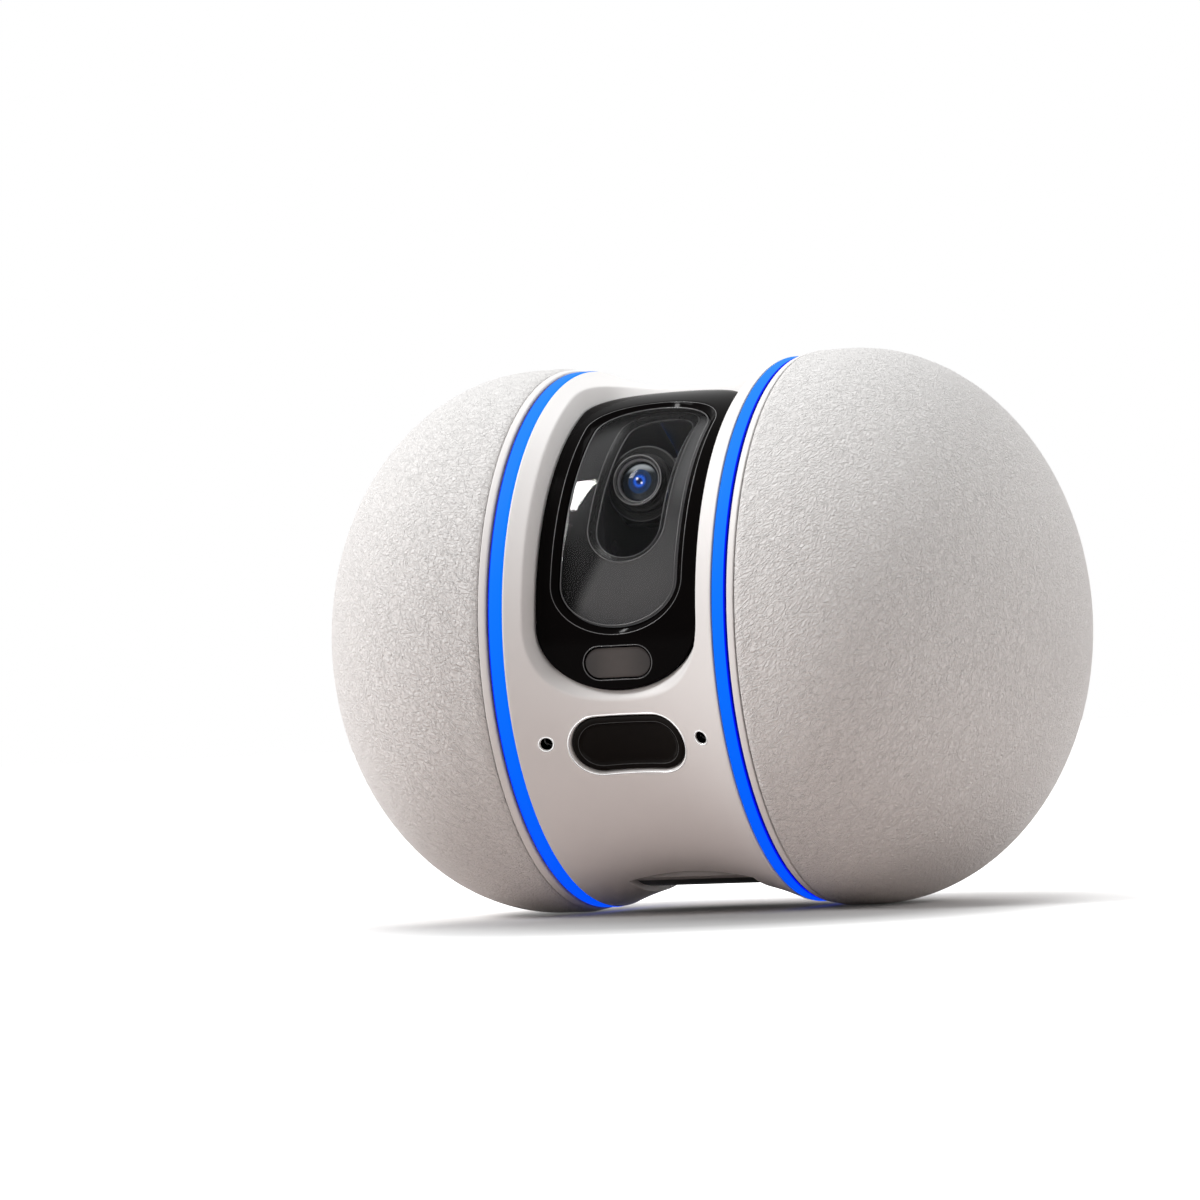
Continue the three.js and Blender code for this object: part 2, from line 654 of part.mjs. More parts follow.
function buildWindow() {
  const bevelFoot = FASCIA_RADIUS - PANE_BEVEL_DEPTH;
  const bevelRise = BEVEL_END_RADIUS - bevelFoot;
  const foot = windowOutline(paneFit);
  const mouth = windowOutline(paneFit, PANE_BEVEL_SLOPE_SHARE * bevelRise);
  const paneHole = solid(wrapped([
    { radius: DEEP_INSIDE, points: foot },
    { radius: bevelFoot, points: foot },
    { radius: BEVEL_END_RADIUS, points: mouth },
    { radius: FAR_OUTSIDE, points: mouth },
  ]));
  const fascia = sheet(FASCIA_RADIUS, FASCIA_RADIUS - FASCIA_WALL)
    .intersect(prism(windowOutline(windowFit)))
    .subtract(paneHole)
    .subtract(prism(pillOutline(nightFit, FIT_GAP)));
  place("window_fascia", geometryOf(fascia), finishes.blackGloss());
  const glass = sheet(PANE_RADIUS, PANE_RADIUS - PANE_WALL);
  const pane = glass.intersect(prism(windowOutline(paneFit, -FIT_GAP)));
  place("smoked_pane", geometryOf(pane), finishes.smokedPane());
  const nightRadius = FASCIA_RADIUS - NIGHT_SINK;
  const night = sheet(nightRadius, nightRadius - NIGHT_WALL).intersect(prism(pillOutline(nightFit)));
  place("night_light_window", geometryOf(night), finishes.greyLens());
  const boardTop = FASCIA_RADIUS - FASCIA_WALL - 2 * FIT_GAP;
  const board = box(
    -NIGHT_BOARD_HALF_LENGTH,
    NIGHT_BOARD_HALF_LENGTH,
    -NIGHT_BOARD_HEIGHT / 2,
    NIGHT_BOARD_HEIGHT / 2,
    boardTop - BOARD_WALL,
    boardTop,
  );
  place("night_light_board", lookingOut(board, NIGHT_ANGLE), finishes.board());
}

function buildMask() {
  const foot = windowOutline(slotFit);
  const mouth = windowOutline(slotFit, SLOT_BEVEL);
  const slot = solid(wrapped([
    { radius: DEEP_INSIDE, points: foot },
    { radius: MASK_RADIUS - MASK_WALL, points: foot },
    { radius: MASK_RADIUS, points: mouth },
    { radius: FAR_OUTSIDE, points: mouth },
  ]));
  const plate = sheet(MASK_RADIUS, MASK_RADIUS - MASK_WALL);
  const mask = plate.intersect(prism(windowOutline(maskFit))).subtract(slot);
  place("camera_mask", geometryOf(mask), finishes.blackSatin());
}

function buildSensor() {
  const top = saddle(SENSOR_SINK, BODY_END, SADDLE_STEPS);
  const floor = saddle(SENSOR_SINK + SENSOR_WALL, BODY_LENGTH, 2 * SADDLE_STEPS);
  const dishFloor = saddle(SENSOR_SINK + SENSOR_DISH_DEPTH, BODY_LENGTH, 2 * SADDLE_STEPS);
  const dish = prism(pillOutline(sensorFit, -FIT_GAP - SENSOR_DISH_MARGIN)).subtract(dishFloor);
  const pane = top.subtract(floor).intersect(prism(pillOutline(sensorFit, -FIT_GAP))).subtract(dish);
  place("front_sensor_window", geometryOf(pane), finishes.blackGloss());
  const boardTop = WAIST_RADIUS - SENSOR_SINK - SENSOR_WALL - 2 * FIT_GAP;
  const board = box(
    -SENSOR_BOARD_HALF_LENGTH,
    SENSOR_BOARD_HALF_LENGTH,
    -SENSOR_BOARD_HEIGHT / 2,
    SENSOR_BOARD_HEIGHT / 2,
    boardTop - BOARD_WALL,
    boardTop,
  );
  place("sensor_board", lookingOut(board, SENSOR_ANGLE), finishes.board());
  const micTop = saddleRadius(MIC_X, SHELL_WALL) - MIC_DEPTH;
  for (const [name, side] of [["left_microphone", -1], ["right_microphone", 1]]) {
    const can = rod(micTop - MIC_LENGTH, micTop, MIC_RADIUS, SMALL_FLATS);
    const capsule = upright(can).translate(side * MIC_X, 0, 0);
    place(name, lookingOut(capsule, MIC_ANGLE), finishes.blackSatin());
  }
}

// The lens looks along +Z in this group, turned to its rest angle about the tilt pivot
const cameraGroup = new THREE.Group();
cameraGroup.position.set(CAMERA_X, PIVOT_Y, PIVOT_Z);
cameraGroup.rotation.x = Math.PI / 2 - degrees(LENS_REST_ANGLE);
machine.add(cameraGroup);

const PIN_REACH = POD_HALF_LENGTH + FIT_GAP + TILT_GEAR_WIDTH + RUNNING_GAP + BRACKET_WALL;
const ARM_IN = PIN_REACH - BRACKET_WALL;
const TILT_GEAR_DISTANCE = (TILT_GEAR_MODULE * (TILT_GEAR_TEETH + TILT_PINION_TEETH)) / 2 + GEAR_BACKLASH;

function buildCamera() {
  const podProfile = [
    [-PIN_REACH, 0],
    [-PIN_REACH, PIN_RADIUS],
    [-POD_HALF_LENGTH, PIN_RADIUS],
    [-POD_HALF_LENGTH, POD_RADIUS - POD_EDGE],
    [POD_EDGE - POD_HALF_LENGTH, POD_RADIUS],
    [POD_HALF_LENGTH - POD_EDGE, POD_RADIUS],
    [POD_HALF_LENGTH, POD_RADIUS - POD_EDGE],
    [POD_HALF_LENGTH, PIN_RADIUS],
    [PIN_REACH, PIN_RADIUS],
    [PIN_REACH, 0],
  ];
  const neckTop = LENS_REACH - BARREL_LENGTH - FIT_GAP;
  const neck = upright(rod(0, neckTop, NECK_RADIUS, SMALL_FLATS));
  const pod = solid(turned(podProfile, SMALL_FLATS)).add(solid(neck));
  place("camera_pod", geometryOf(pod), finishes.blackSatin(), cameraGroup);
  const barrelFoot = LENS_REACH - BARREL_LENGTH;
  const barrel = upright(rod(barrelFoot, LENS_REACH, BARREL_RADIUS, MIDDLE_FLATS, BARREL_BORE));
  place("lens_barrel", barrel, finishes.blackSatin(), cameraGroup);
  const lensRadius = BARREL_BORE - FIT_GAP;
  const lensTop = LENS_REACH - LENS_SINK;
  const lens = turned([
    [barrelFoot, 0],
    [barrelFoot, lensRadius],
    [lensTop - LENS_CROWN, lensRadius],
    [lensTop - LENS_CROWN / 4, lensRadius / 2],
    [lensTop, 0],
  ], MIDDLE_FLATS);
  place("lens_glass", upright(lens), finishes.lensGlass(), cameraGroup);
  const half = IMAGE_BOARD_SIZE / 2;
  const boardTop = -POD_RADIUS - 2 * FIT_GAP;
  const board = box(-half, half, -half, half, boardTop - BOARD_WALL, boardTop);
  place("image_sensor_board", board, finishes.board(), cameraGroup);
}

function buildTiltDrive() {
  const gearX = CAMERA_X + POD_HALF_LENGTH + FIT_GAP;
  const gear = gearShape(TILT_GEAR, PIVOT_Y, PIVOT_Z, -Math.PI / 2, PIN_RADIUS + FIT_GAP);
  place("tilt_gear", slab(gear, gearX, gearX + TILT_GEAR_WIDTH), finishes.gearPlastic());
  const pinionZ = PIVOT_Z - TILT_GEAR_DISTANCE;
  const halfTooth = Math.PI / TILT_PINION_TEETH;
  const pinion = solid(slab(
    gearShape(TILT_PINION, PIVOT_Y, pinionZ, Math.PI / 2 + halfTooth, 0),
    gearX,
    gearX + TILT_GEAR_WIDTH,
  ));
  const motorX = CAMERA_X + PIN_REACH + FIT_GAP;
  const shaftEnd = motorX + SHAFT_SEAT / 2;
  const shaft = solid(rod(gearX, shaftEnd, SHAFT_RADIUS, TINY_FLATS).translate(0, PIVOT_Y, pinionZ));
  place("tilt_pinion", geometryOf(pinion.add(shaft)), finishes.gearPlastic());
  const seat = rod(motorX - CUT_PAST, shaftEnd + FIT_GAP, SHAFT_RADIUS + FIT_GAP, TINY_FLATS);
  const can = rod(motorX, END_PLATE_IN - TILT_MOTOR_MARGIN, TILT_MOTOR_RADIUS, SMALL_FLATS);
  const motor = solid(can).subtract(solid(seat));
  place("tilt_motor", geometryOf(motor).translate(0, PIVOT_Y, pinionZ), finishes.steel());
  const foot = TRAY_TOP + FIT_GAP;
  const arm = new THREE.Shape();
  arm.moveTo(PIVOT_Y - BRACKET_HALF_WIDTH, foot);
  arm.lineTo(PIVOT_Y + BRACKET_HALF_WIDTH, foot);
  arm.lineTo(PIVOT_Y + BRACKET_HALF_WIDTH, PIVOT_Z);
  arm.absarc(PIVOT_Y, PIVOT_Z, BRACKET_HALF_WIDTH, 0, Math.PI, false);
  arm.holes.push(new THREE.Path().absarc(PIVOT_Y, PIVOT_Z, PIN_RADIUS + FIT_GAP, 0, 2 * Math.PI, true));
  arm.holes.push(new THREE.Path().absarc(PIVOT_Y, pinionZ, SHAFT_RADIUS + FIT_GAP, 0, 2 * Math.PI, true));
  const left = solid(slab(arm, CAMERA_X - PIN_REACH, CAMERA_X - ARM_IN));
  const right = solid(slab(arm, CAMERA_X + ARM_IN, CAMERA_X + PIN_REACH));
  const bridge = solid(box(
    CAMERA_X - PIN_REACH,
    CAMERA_X + PIN_REACH,
    PIVOT_Y - BRACKET_HALF_WIDTH,
    PIVOT_Y + BRACKET_HALF_WIDTH,
    foot,
    foot + BRACKET_FOOT,
  ));
  place("camera_bracket", geometryOf(left.add(right).add(bridge)), finishes.greyPlastic());
}

function buildChassis() {
  const end = END_PLATE_IN - FIT_GAP;
  let tray = solid(box(-end, end, -TRAY_HALF_WIDTH, TRAY_HALF_WIDTH, TRAY_TOP - TRAY_WALL, TRAY_TOP));
  for (const side of [-1, 1]) {
    const x0 = Math.min(side * end, side * (end - FLANGE_WALL));
    const flangeEnd = FLANGE_LENGTH - TRAY_HALF_WIDTH;
    const low = TRAY_TOP - TRAY_WALL;
    const high = TRAY_TOP + FLANGE_HEIGHT;
    const flange = box(x0, x0 + FLANGE_WALL, -TRAY_HALF_WIDTH, flangeEnd, low, high);
    tray = tray.add(solid(flange));
    for (const [y, z] of screwPlaces()) {
      tray = tray.subtract(solid(screwHole(side).translate(0, y, z)));
    }
  }
  place("chassis_tray", geometryOf(tray), finishes.greyPlastic());
  const batteryTop = TRAY_TOP - TRAY_WALL - FIT_GAP;
  const block = new THREE.Shape();
  const inner = BATTERY_HALF_WIDTH - BATTERY_EDGE;
  const ballastLow = BALLAST_CLEARANCE - WAIST_RADIUS;
  const ballastTop = ballastLow + BALLAST_HEIGHT;
  const low = ballastTop + FIT_GAP;
  block.moveTo(-inner, low);
  block.absarc(inner, low + BATTERY_EDGE, BATTERY_EDGE, -Math.PI / 2, 0, false);
  block.absarc(inner, batteryTop - BATTERY_EDGE, BATTERY_EDGE, 0, Math.PI / 2, false);
  block.absarc(-inner, batteryTop - BATTERY_EDGE, BATTERY_EDGE, Math.PI / 2, Math.PI, false);
  block.absarc(-inner, low + BATTERY_EDGE, BATTERY_EDGE, Math.PI, 1.5 * Math.PI, false);
  place("battery_pack", slab(block, -BATTERY_HALF_LENGTH, BATTERY_HALF_LENGTH), finishes.battery());
  const ballast = box(
    -BALLAST_HALF_LENGTH,
    BALLAST_HALF_LENGTH,
    -BALLAST_HALF_WIDTH,
    BALLAST_HALF_WIDTH,
    ballastLow,
    ballastTop,
  );
  place("ballast_plate", ballast, finishes.steel());
  const boardFoot = TRAY_TOP + FIT_GAP;
  const board = box(
    -MAIN_BOARD_HALF_LENGTH,
    MAIN_BOARD_HALF_LENGTH,
    MAIN_BOARD_Y,
    MAIN_BOARD_Y + MAIN_BOARD_WALL,
    boardFoot,
    boardFoot + MAIN_BOARD_HEIGHT,
  );
  place("main_board", board, finishes.board());
}

// Where the two screws on each side join the end plate to the tray's flange
function screwPlaces() {
  const z = TRAY_TOP + FLANGE_HEIGHT / 2;
  const middle = FLANGE_LENGTH / 2 - TRAY_HALF_WIDTH;
  return [[middle - SCREW_PITCH / 2, z], [middle + SCREW_PITCH / 2, z]];
}

function screwHole(side) {
  const inner = END_PLATE_IN - 2 * FLANGE_WALL;
  return sideRod(side, inner, END_PLATE_OUT + CUT_PAST, SCREW_RADIUS + FIT_GAP, TINY_FLATS);
}

// Mirrors a profile to the left or right side
const onSide = (profile, side) => profile.map(([x, radius]) => [side * x, radius]);

function sideRod(side, x0, x1, radius, flats) {
  return rod(Math.min(side * x0, side * x1), Math.max(side * x0, side * x1), radius, flats);
}

function buildBodySide(name, side) {
  const plateRadius = saddleRadius(END_PLATE_IN, SHELL_WALL) - FIT_GAP;
  const bore = AXLE_RADIUS + FIT_GAP;
  let plate = solid(turned(onSide([
    [END_PLATE_IN - END_BOSS_INWARD, bore],
    [END_PLATE_IN - END_BOSS_INWARD, END_BOSS_RADIUS],
    [END_PLATE_IN, END_BOSS_RADIUS],
    [END_PLATE_IN, plateRadius],
    [END_PLATE_OUT, plateRadius],
    [END_PLATE_OUT, END_BOSS_RADIUS],
    [END_PLATE_OUT + END_BOSS_OUTWARD, END_BOSS_RADIUS],
    [END_PLATE_OUT + END_BOSS_OUTWARD, bore],
  ], side), WHEEL_FLATS));
  const shaftHole = sideRod(side, MOTOR_OUT, GEAR_IN, SHAFT_RADIUS + 2 * FIT_GAP, TINY_FLATS);
  plate = plate.subtract(solid(shaftHole.translate(0, PINION_Y, PINION_Z)));
  for (const [y, z] of screwPlaces()) {
    plate = plate.subtract(solid(screwHole(side).translate(0, y, z)));
  }
  place(`${name}_end_plate`, geometryOf(plate), finishes.greyPlastic());

  const boardIn = END_PLATE_OUT + FIT_GAP;
  const boardOut = boardIn + LED_BOARD_WALL;
  const boardBore = BODY_EDGE_RADIUS - LED_BOARD_DEPTH;
  const bandIn = BODY_EDGE_RADIUS - RING_DEPTH;
  const ledBoard = turned(onSide([
    [boardIn, boardBore],
    [boardIn, plateRadius],
    [boardOut, plateRadius],
    [boardOut, boardBore],
  ], side), MIDDLE_FLATS);
  place(`${name}_led_board`, ledBoard, finishes.board());
  const footIn = boardOut + FIT_GAP;
  const ring = turned(onSide([
    [RING_IN, bandIn],
    [RING_IN, BODY_EDGE_RADIUS - RING_EDGE],
    [RING_IN + RING_EDGE, BODY_EDGE_RADIUS],
    [RING_OUT - RING_EDGE, BODY_EDGE_RADIUS],
    [RING_OUT, BODY_EDGE_RADIUS - RING_EDGE],
    [RING_OUT, BODY_EDGE_RADIUS - RING_FOOT_DEPTH],
    [footIn, BODY_EDGE_RADIUS - RING_FOOT_DEPTH],
    [footIn, bandIn],
  ], side), WHEEL_FLATS);
  place(`${name}_light_ring`, ring, finishes.blueLight());

  const headIn = BEARING_OUT + RUNNING_GAP;
  const bolt = turned(onSide([
    [END_PLATE_IN - END_BOSS_INWARD, 0],
    [END_PLATE_IN - END_BOSS_INWARD, AXLE_RADIUS],
    [headIn, AXLE_RADIUS],
    [headIn, AXLE_HEAD_RADIUS],
    [headIn + AXLE_HEAD_WIDTH, AXLE_HEAD_RADIUS],
    [headIn + AXLE_HEAD_WIDTH, 0],
  ], side), SMALL_FLATS);
  place(`${name}_axle_bolt`, bolt, finishes.steel());

  const seatIn = MOTOR_OUT - SHAFT_SEAT - FIT_GAP;
  const seat = sideRod(side, seatIn, END_PLATE_OUT, SHAFT_RADIUS + FIT_GAP, TINY_FLATS);
  const can = sideRod(side, MOTOR_OUT - MOTOR_LENGTH, MOTOR_OUT, MOTOR_RADIUS, SMALL_FLATS);
  const motor = geometryOf(solid(can).subtract(solid(seat))).translate(0, PINION_Y, PINION_Z);
  place(`${name}_drive_motor`, motor, finishes.steel());
  screwPlaces().forEach(([y, z], at) => {
    const headFoot = END_PLATE_OUT + FIT_GAP;
    const screw = turned(onSide([
      [END_PLATE_IN - FLANGE_WALL, 0],
      [END_PLATE_IN - FLANGE_WALL, SCREW_RADIUS],
      [headFoot, SCREW_RADIUS],
      [headFoot, SCREW_HEAD_RADIUS],
      [headFoot + SCREW_HEAD_HEIGHT, SCREW_HEAD_RADIUS],
      [headFoot + SCREW_HEAD_HEIGHT, 0],
    ], side), TINY_FLATS);
    place(`${name}_screw_${at + 1}`, screw.translate(0, y, z), finishes.steel());
  });
}

// Half an ellipse from the tread to the point on the axle line, sunk below the skin by an inset
function domeEdge(inset, steps) {
  const points = [];
  for (let step = 0; step < steps; step += 1) {
    const turn = (Math.PI * step) / (2 * steps);
    const x = DOME_X + (DOME_DEPTH - inset) * Math.sin(turn);
    points.push([x, (WHEEL_RADIUS - inset) * Math.cos(turn)]);
  }
  points.push([DOME_X + DOME_DEPTH - inset, 0]);
  return points;
}

function buildWheel(name, side) {
  const skin = turned(onSide([
    ...domeEdge(SKIN_WALL, DOME_INNER_STEPS).reverse(),
    [SKIN_IN, WHEEL_RADIUS - SKIN_WALL],
    [SKIN_IN, WHEEL_RADIUS - RIM_DROP],
    [SKIN_IN + TREAD_EDGE, WHEEL_RADIUS],
    ...domeEdge(0, DOME_STEPS),
  ], side), WHEEL_FLATS);
  place(`${name}_wheel_skin`, skin, finishes.whiteSkin());
  const hubOut = SKIN_WALL + FIT_GAP;
  const hubIn = hubOut + HUB_WALL;
  const hubShell = turned(onSide([
    ...domeEdge(hubIn, DOME_INNER_STEPS).reverse(),
    [SKIN_IN, WHEEL_RADIUS - hubIn],
    [SKIN_IN, WHEEL_RADIUS - hubOut],
    ...domeEdge(hubOut, DOME_INNER_STEPS),
  ], side), WHEEL_FLATS);
  place(`${name}_hub_shell`, hubShell, finishes.greyPlastic());
  const rim = turned(onSide([
    [RIM_IN, WHEEL_RADIUS - RIM_DEPTH],
    [RIM_IN, WHEEL_RADIUS - 2 * RIM_DROP],
    [RIM_IN + RIM_DROP, WHEEL_RADIUS - RIM_DROP],
    [RIM_OUT, WHEEL_RADIUS - RIM_DROP],
    [RIM_OUT, WHEEL_RADIUS - RIM_DEPTH],
  ], side), WHEEL_FLATS);
  place(`${name}_wheel_rim`, rim, finishes.whiteRim());
  const seatRadius = BEARING_RADIUS + FIT_GAP;
  const hubPlate = turned(onSide([
    [SKIN_IN, BEARING_RADIUS - BEARING_LIP],
    [SKIN_IN, WHEEL_RADIUS - hubIn - FIT_GAP],
    [SKIN_IN + HUB_PLATE_WALL, WHEEL_RADIUS - hubIn - FIT_GAP],
    [SKIN_IN + HUB_PLATE_WALL, seatRadius + HUB_BOSS_WALL],
    [BEARING_OUT + BEARING_LIP_WALL, seatRadius + HUB_BOSS_WALL],
    [BEARING_OUT + BEARING_LIP_WALL, seatRadius],
    [BEARING_IN - FIT_GAP, seatRadius],
    [BEARING_IN - FIT_GAP, BEARING_RADIUS - BEARING_LIP],
  ], side), WHEEL_FLATS);
  place(`${name}_hub_plate`, hubPlate, finishes.greyPlastic());
  const bearing = rod(
    Math.min(side * BEARING_IN, side * BEARING_OUT),
    Math.max(side * BEARING_IN, side * BEARING_OUT),
    BEARING_RADIUS,
    MIDDLE_FLATS,
    AXLE_RADIUS + FIT_GAP,
  );
  place(`${name}_wheel_bearing`, bearing, finishes.steel());
  const towardPinion = -degrees(MOTOR_ANGLE);
  const gearX = Math.min(side * GEAR_IN, side * GEAR_OUT);
  const gear = gearShape(WHEEL_GEAR, 0, 0, towardPinion, GEAR_BORE);
  place(`${name}_wheel_gear`, slab(gear, gearX, gearX + GEAR_WIDTH), finishes.gearPlastic());
  const halfTooth = Math.PI / PINION_TEETH;
  const pinionShape = gearShape(DRIVE_PINION, 0, 0, towardPinion + Math.PI + halfTooth, 0);
  const shaft = sideRod(side, MOTOR_OUT - SHAFT_SEAT, GEAR_OUT, SHAFT_RADIUS, TINY_FLATS);
  const pinion = solid(slab(pinionShape, gearX, gearX + GEAR_WIDTH)).add(solid(shaft));
  place(`${name}_drive_pinion`, geometryOf(pinion).translate(0, PINION_Y, PINION_Z), finishes.brass());
}

// Radius of the flat top of the switch board, measured along the button's line
function switchBoardTop() {
  const flangeFoot = WAIST_RADIUS - SHELL_WALL - BUTTON_FLANGE_DROP - BUTTON_FLANGE_WALL;
  return flangeFoot - BUTTON_TRAVEL - FIT_GAP - SWITCH_HEIGHT;
}

function buildRearFittings() {
  const flangeTop = WAIST_RADIUS - SHELL_WALL - BUTTON_FLANGE_DROP;
  const flangeFoot = flangeTop - BUTTON_FLANGE_WALL;
  const capTop = WAIST_RADIUS + BUTTON_PROUD;
  const button = upright(turned([
    [flangeFoot, 0],
    [flangeFoot, BUTTON_FLANGE_RADIUS],
    [flangeTop, BUTTON_FLANGE_RADIUS],
    [flangeTop, BUTTON_RADIUS],
    [capTop - BUTTON_PROUD / 2, BUTTON_RADIUS],
    [capTop, BUTTON_RADIUS - BUTTON_PROUD / 2],
    [capTop, 0],
  ], SMALL_FLATS));
  place("power_button", lookingOut(button, 180 - BUTTON_ANGLE), finishes.greyPlastic());
  const top = switchBoardTop();
  const board = solid(box(
    -SWITCH_BOARD_LENGTH / 2,
    SWITCH_BOARD_LENGTH / 2,
    -SWITCH_BOARD_WIDTH / 2,
    SWITCH_BOARD_WIDTH / 2,
    top - BOARD_WALL,
    top,
  ));
  const half = SWITCH_SIZE / 2;
  const key = solid(box(-half, half, -half, half, top - BOARD_WALL / 2, top + SWITCH_HEIGHT));
  place("switch_board", lookingOut(geometryOf(board.add(key)), 180 - BUTTON_ANGLE), finishes.board());

  const speakerBack = SPEAKER_FRONT_Y - SPEAKER_LENGTH;
  const speaker = turned([
    [speakerBack, 0],
    [speakerBack, SPEAKER_CONE_RADIUS],
    [SPEAKER_RING_Y, SPEAKER_RADIUS],
    [SPEAKER_FRONT_Y, SPEAKER_RADIUS],
    [SPEAKER_FRONT_Y, SPEAKER_CONE_RADIUS],
    [SPEAKER_FRONT_Y - SPEAKER_CONE_DEPTH, SPEAKER_CONE_RADIUS / 2],
    [SPEAKER_FRONT_Y - SPEAKER_CONE_DEPTH, 0],
  ], MIDDLE_FLATS);
  place("speaker", speaker.rotateZ(Math.PI / 2).translate(0, 0, SPEAKER_Z), finishes.blackSatin());

  const mouth = Math.sqrt(WAIST_RADIUS ** 2 - (SOCKET_Z + SOCKET_HALF_HEIGHT) ** 2) - SOCKET_SINK;
  const socket = solid(box(
    -SOCKET_HALF_WIDTH,
    SOCKET_HALF_WIDTH,
    mouth - SOCKET_LENGTH,
    mouth,
    SOCKET_Z - SOCKET_HALF_HEIGHT,
    SOCKET_Z + SOCKET_HALF_HEIGHT,
  ));
  const hollow = solid(box(
    SOCKET_WALL - SOCKET_HALF_WIDTH,
    SOCKET_HALF_WIDTH - SOCKET_WALL,
    mouth - SOCKET_DEPTH,
    mouth + CUT_PAST,
    SOCKET_Z + SOCKET_WALL - SOCKET_HALF_HEIGHT,
    SOCKET_Z + SOCKET_HALF_HEIGHT - SOCKET_WALL,
  ));
  place("charging_socket", geometryOf(socket.subtract(hollow)), finishes.steel());
}

function buildBase() {
  const outer = WAIST_RADIUS + BASE_PROUD;
  const flatZ = BASE_FLAT_DROP - outer;
  const far = OVERALL_LENGTH;
  let plate = sheet(outer, outer - BASE_WALL)
    .intersect(prism(baseOutline(0)))
    .subtract(solid(box(-far, far, -far, far, -far, flatZ)));
  const grow = FIT_GAP;
  for (const [name, side] of [["left_charging_contact", -1], ["right_charging_contact", 1]]) {
    const x = side * CONTACT_X;
    const well = box(
      x - CONTACT_HALF_LENGTH - grow,
      x + CONTACT_HALF_LENGTH + grow,
      -CONTACT_HALF_WIDTH - grow,
      CONTACT_HALF_WIDTH + grow,
      flatZ - CUT_PAST,
      flatZ + CUT_PAST,
    );
    plate = plate.subtract(solid(well));
    const contact = box(
      x - CONTACT_HALF_LENGTH,
      x + CONTACT_HALF_LENGTH,
      -CONTACT_HALF_WIDTH,
      CONTACT_HALF_WIDTH,
      flatZ + FIT_GAP / 2,
      flatZ + CONTACT_HEIGHT,
    );
    place(name, contact, finishes.brass());
  }
  place("underside_plate", geometryOf(plate), finishes.blackGloss());
}

buildShells();
buildWindow();
buildMask();
buildSensor();
buildCamera();
buildTiltDrive();
buildChassis();
buildRearFittings();
buildBase();
for (const [name, side] of [["left", -1], ["right", 1]]) {
  buildBodySide(name, side);
  buildWheel(name, side);
}

export default machine;
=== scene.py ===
import json
import math

import bmesh
import bpy
import numpy as np
from mathutils import Matrix, Vector


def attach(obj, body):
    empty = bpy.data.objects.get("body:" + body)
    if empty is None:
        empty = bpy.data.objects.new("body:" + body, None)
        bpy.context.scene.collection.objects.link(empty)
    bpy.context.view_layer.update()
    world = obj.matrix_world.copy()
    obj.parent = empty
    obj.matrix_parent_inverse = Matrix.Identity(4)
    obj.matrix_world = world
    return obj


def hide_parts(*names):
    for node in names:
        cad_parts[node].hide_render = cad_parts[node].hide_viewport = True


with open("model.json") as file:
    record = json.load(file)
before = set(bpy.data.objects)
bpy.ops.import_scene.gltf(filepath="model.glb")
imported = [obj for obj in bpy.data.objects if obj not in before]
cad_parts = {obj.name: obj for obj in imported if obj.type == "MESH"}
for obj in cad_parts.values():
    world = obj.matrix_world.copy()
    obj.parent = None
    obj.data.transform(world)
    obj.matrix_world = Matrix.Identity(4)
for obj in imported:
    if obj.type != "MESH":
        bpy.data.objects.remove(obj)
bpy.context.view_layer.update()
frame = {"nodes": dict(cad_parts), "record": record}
cad = frame["nodes"]

# Lengths are in millimetres until a mesh is made. Those of the body are radii about the axle line.
METRE = 0.001
AXLE_HEIGHT = 65.0
WHEEL = 65.0
WAIST = 58.5
EDGE = 64.0
FASCIA = 58.1
PANEL_FOOT = FASCIA - 1.1
PANE = 57.2
MASK = 54.8
# Walls, clearances and the rounding of the body's ends.
SHELL_WALL = 2.4
PANEL_WALL = 2.0
MASK_WALL = 1.5
GAP = 0.3
END_ROUND = 0.5
# Places out along the axle from the middle, and how far the wheel's dome reaches past its tread.
BODY_END = 25.6
PANE_HALF = 14.2
TREAD_END = 39.7
DOME = 51.0
# Degrees round the body, up from the front.
PANE_TOP = 66.8
BUTTON_ANGLE = 135.0

# The lens looks up from the front by 12 degrees, and tilts about its pivot.
LENS_TURN = math.radians(90.0 - 12.0)
LENS_PIVOT = np.array([-1.2, -26.1678, AXLE_HEIGHT + 32.9224])
LENS_RADIUS = 4.4

# The body's grid is as wide as its flat stretch. Its outer columns hold the microphone holes.
HALF = BODY_END - END_ROUND
COLUMNS = 96
MIC_COLUMNS = 18
MIC_EDGE = HALF * (1 - 2 * MIC_COLUMNS / COLUMNS)


def saddle(x):
    """Radius of the body at a place along the axle: the waist plus a parabola up to the edge."""
    return WAIST + (EDGE - WAIST) * (x / BODY_END) ** 2


def up(angle):
    """Length along the unrolled waist of an angle in degrees up from the front."""
    return math.radians(angle) * WAIST


def on_body(x, v, radius):
    """Points at x along the axle, v up round the waist and a radius, as rows of x, y, z in metres."""
    turn = v / WAIST
    points = np.stack([x, -radius * np.cos(turn), AXLE_HEIGHT + radius * np.sin(turn)], -1)
    return points.reshape(-1, 3) * METRE


# Meshes

def quads(rows, columns, closed):
    """Corner numbers of the faces between neighbouring rows and columns of a grid of points."""
    index = np.arange(rows * columns).reshape(rows, columns)
    if closed:
        index = np.hstack([index, index[:, :1]])
    corners = [index[:-1, :-1], index[:-1, 1:], index[1:, 1:], index[1:, :-1]]
    return np.stack(corners, -1).reshape(-1, 4)


def welded(keys, cell, faces):
    """Makes points in the same small cell one, and gives the first of each and the faces renumbered.
    The offset keeps points on whole numbers away from the cells' borders."""
    offset = 0.3719
    cells = np.floor(keys / cell + offset).astype(np.int64)
    _, first, number = np.unique(cells, axis=0, return_index=True, return_inverse=True)
    return first, number.reshape(-1)[faces]


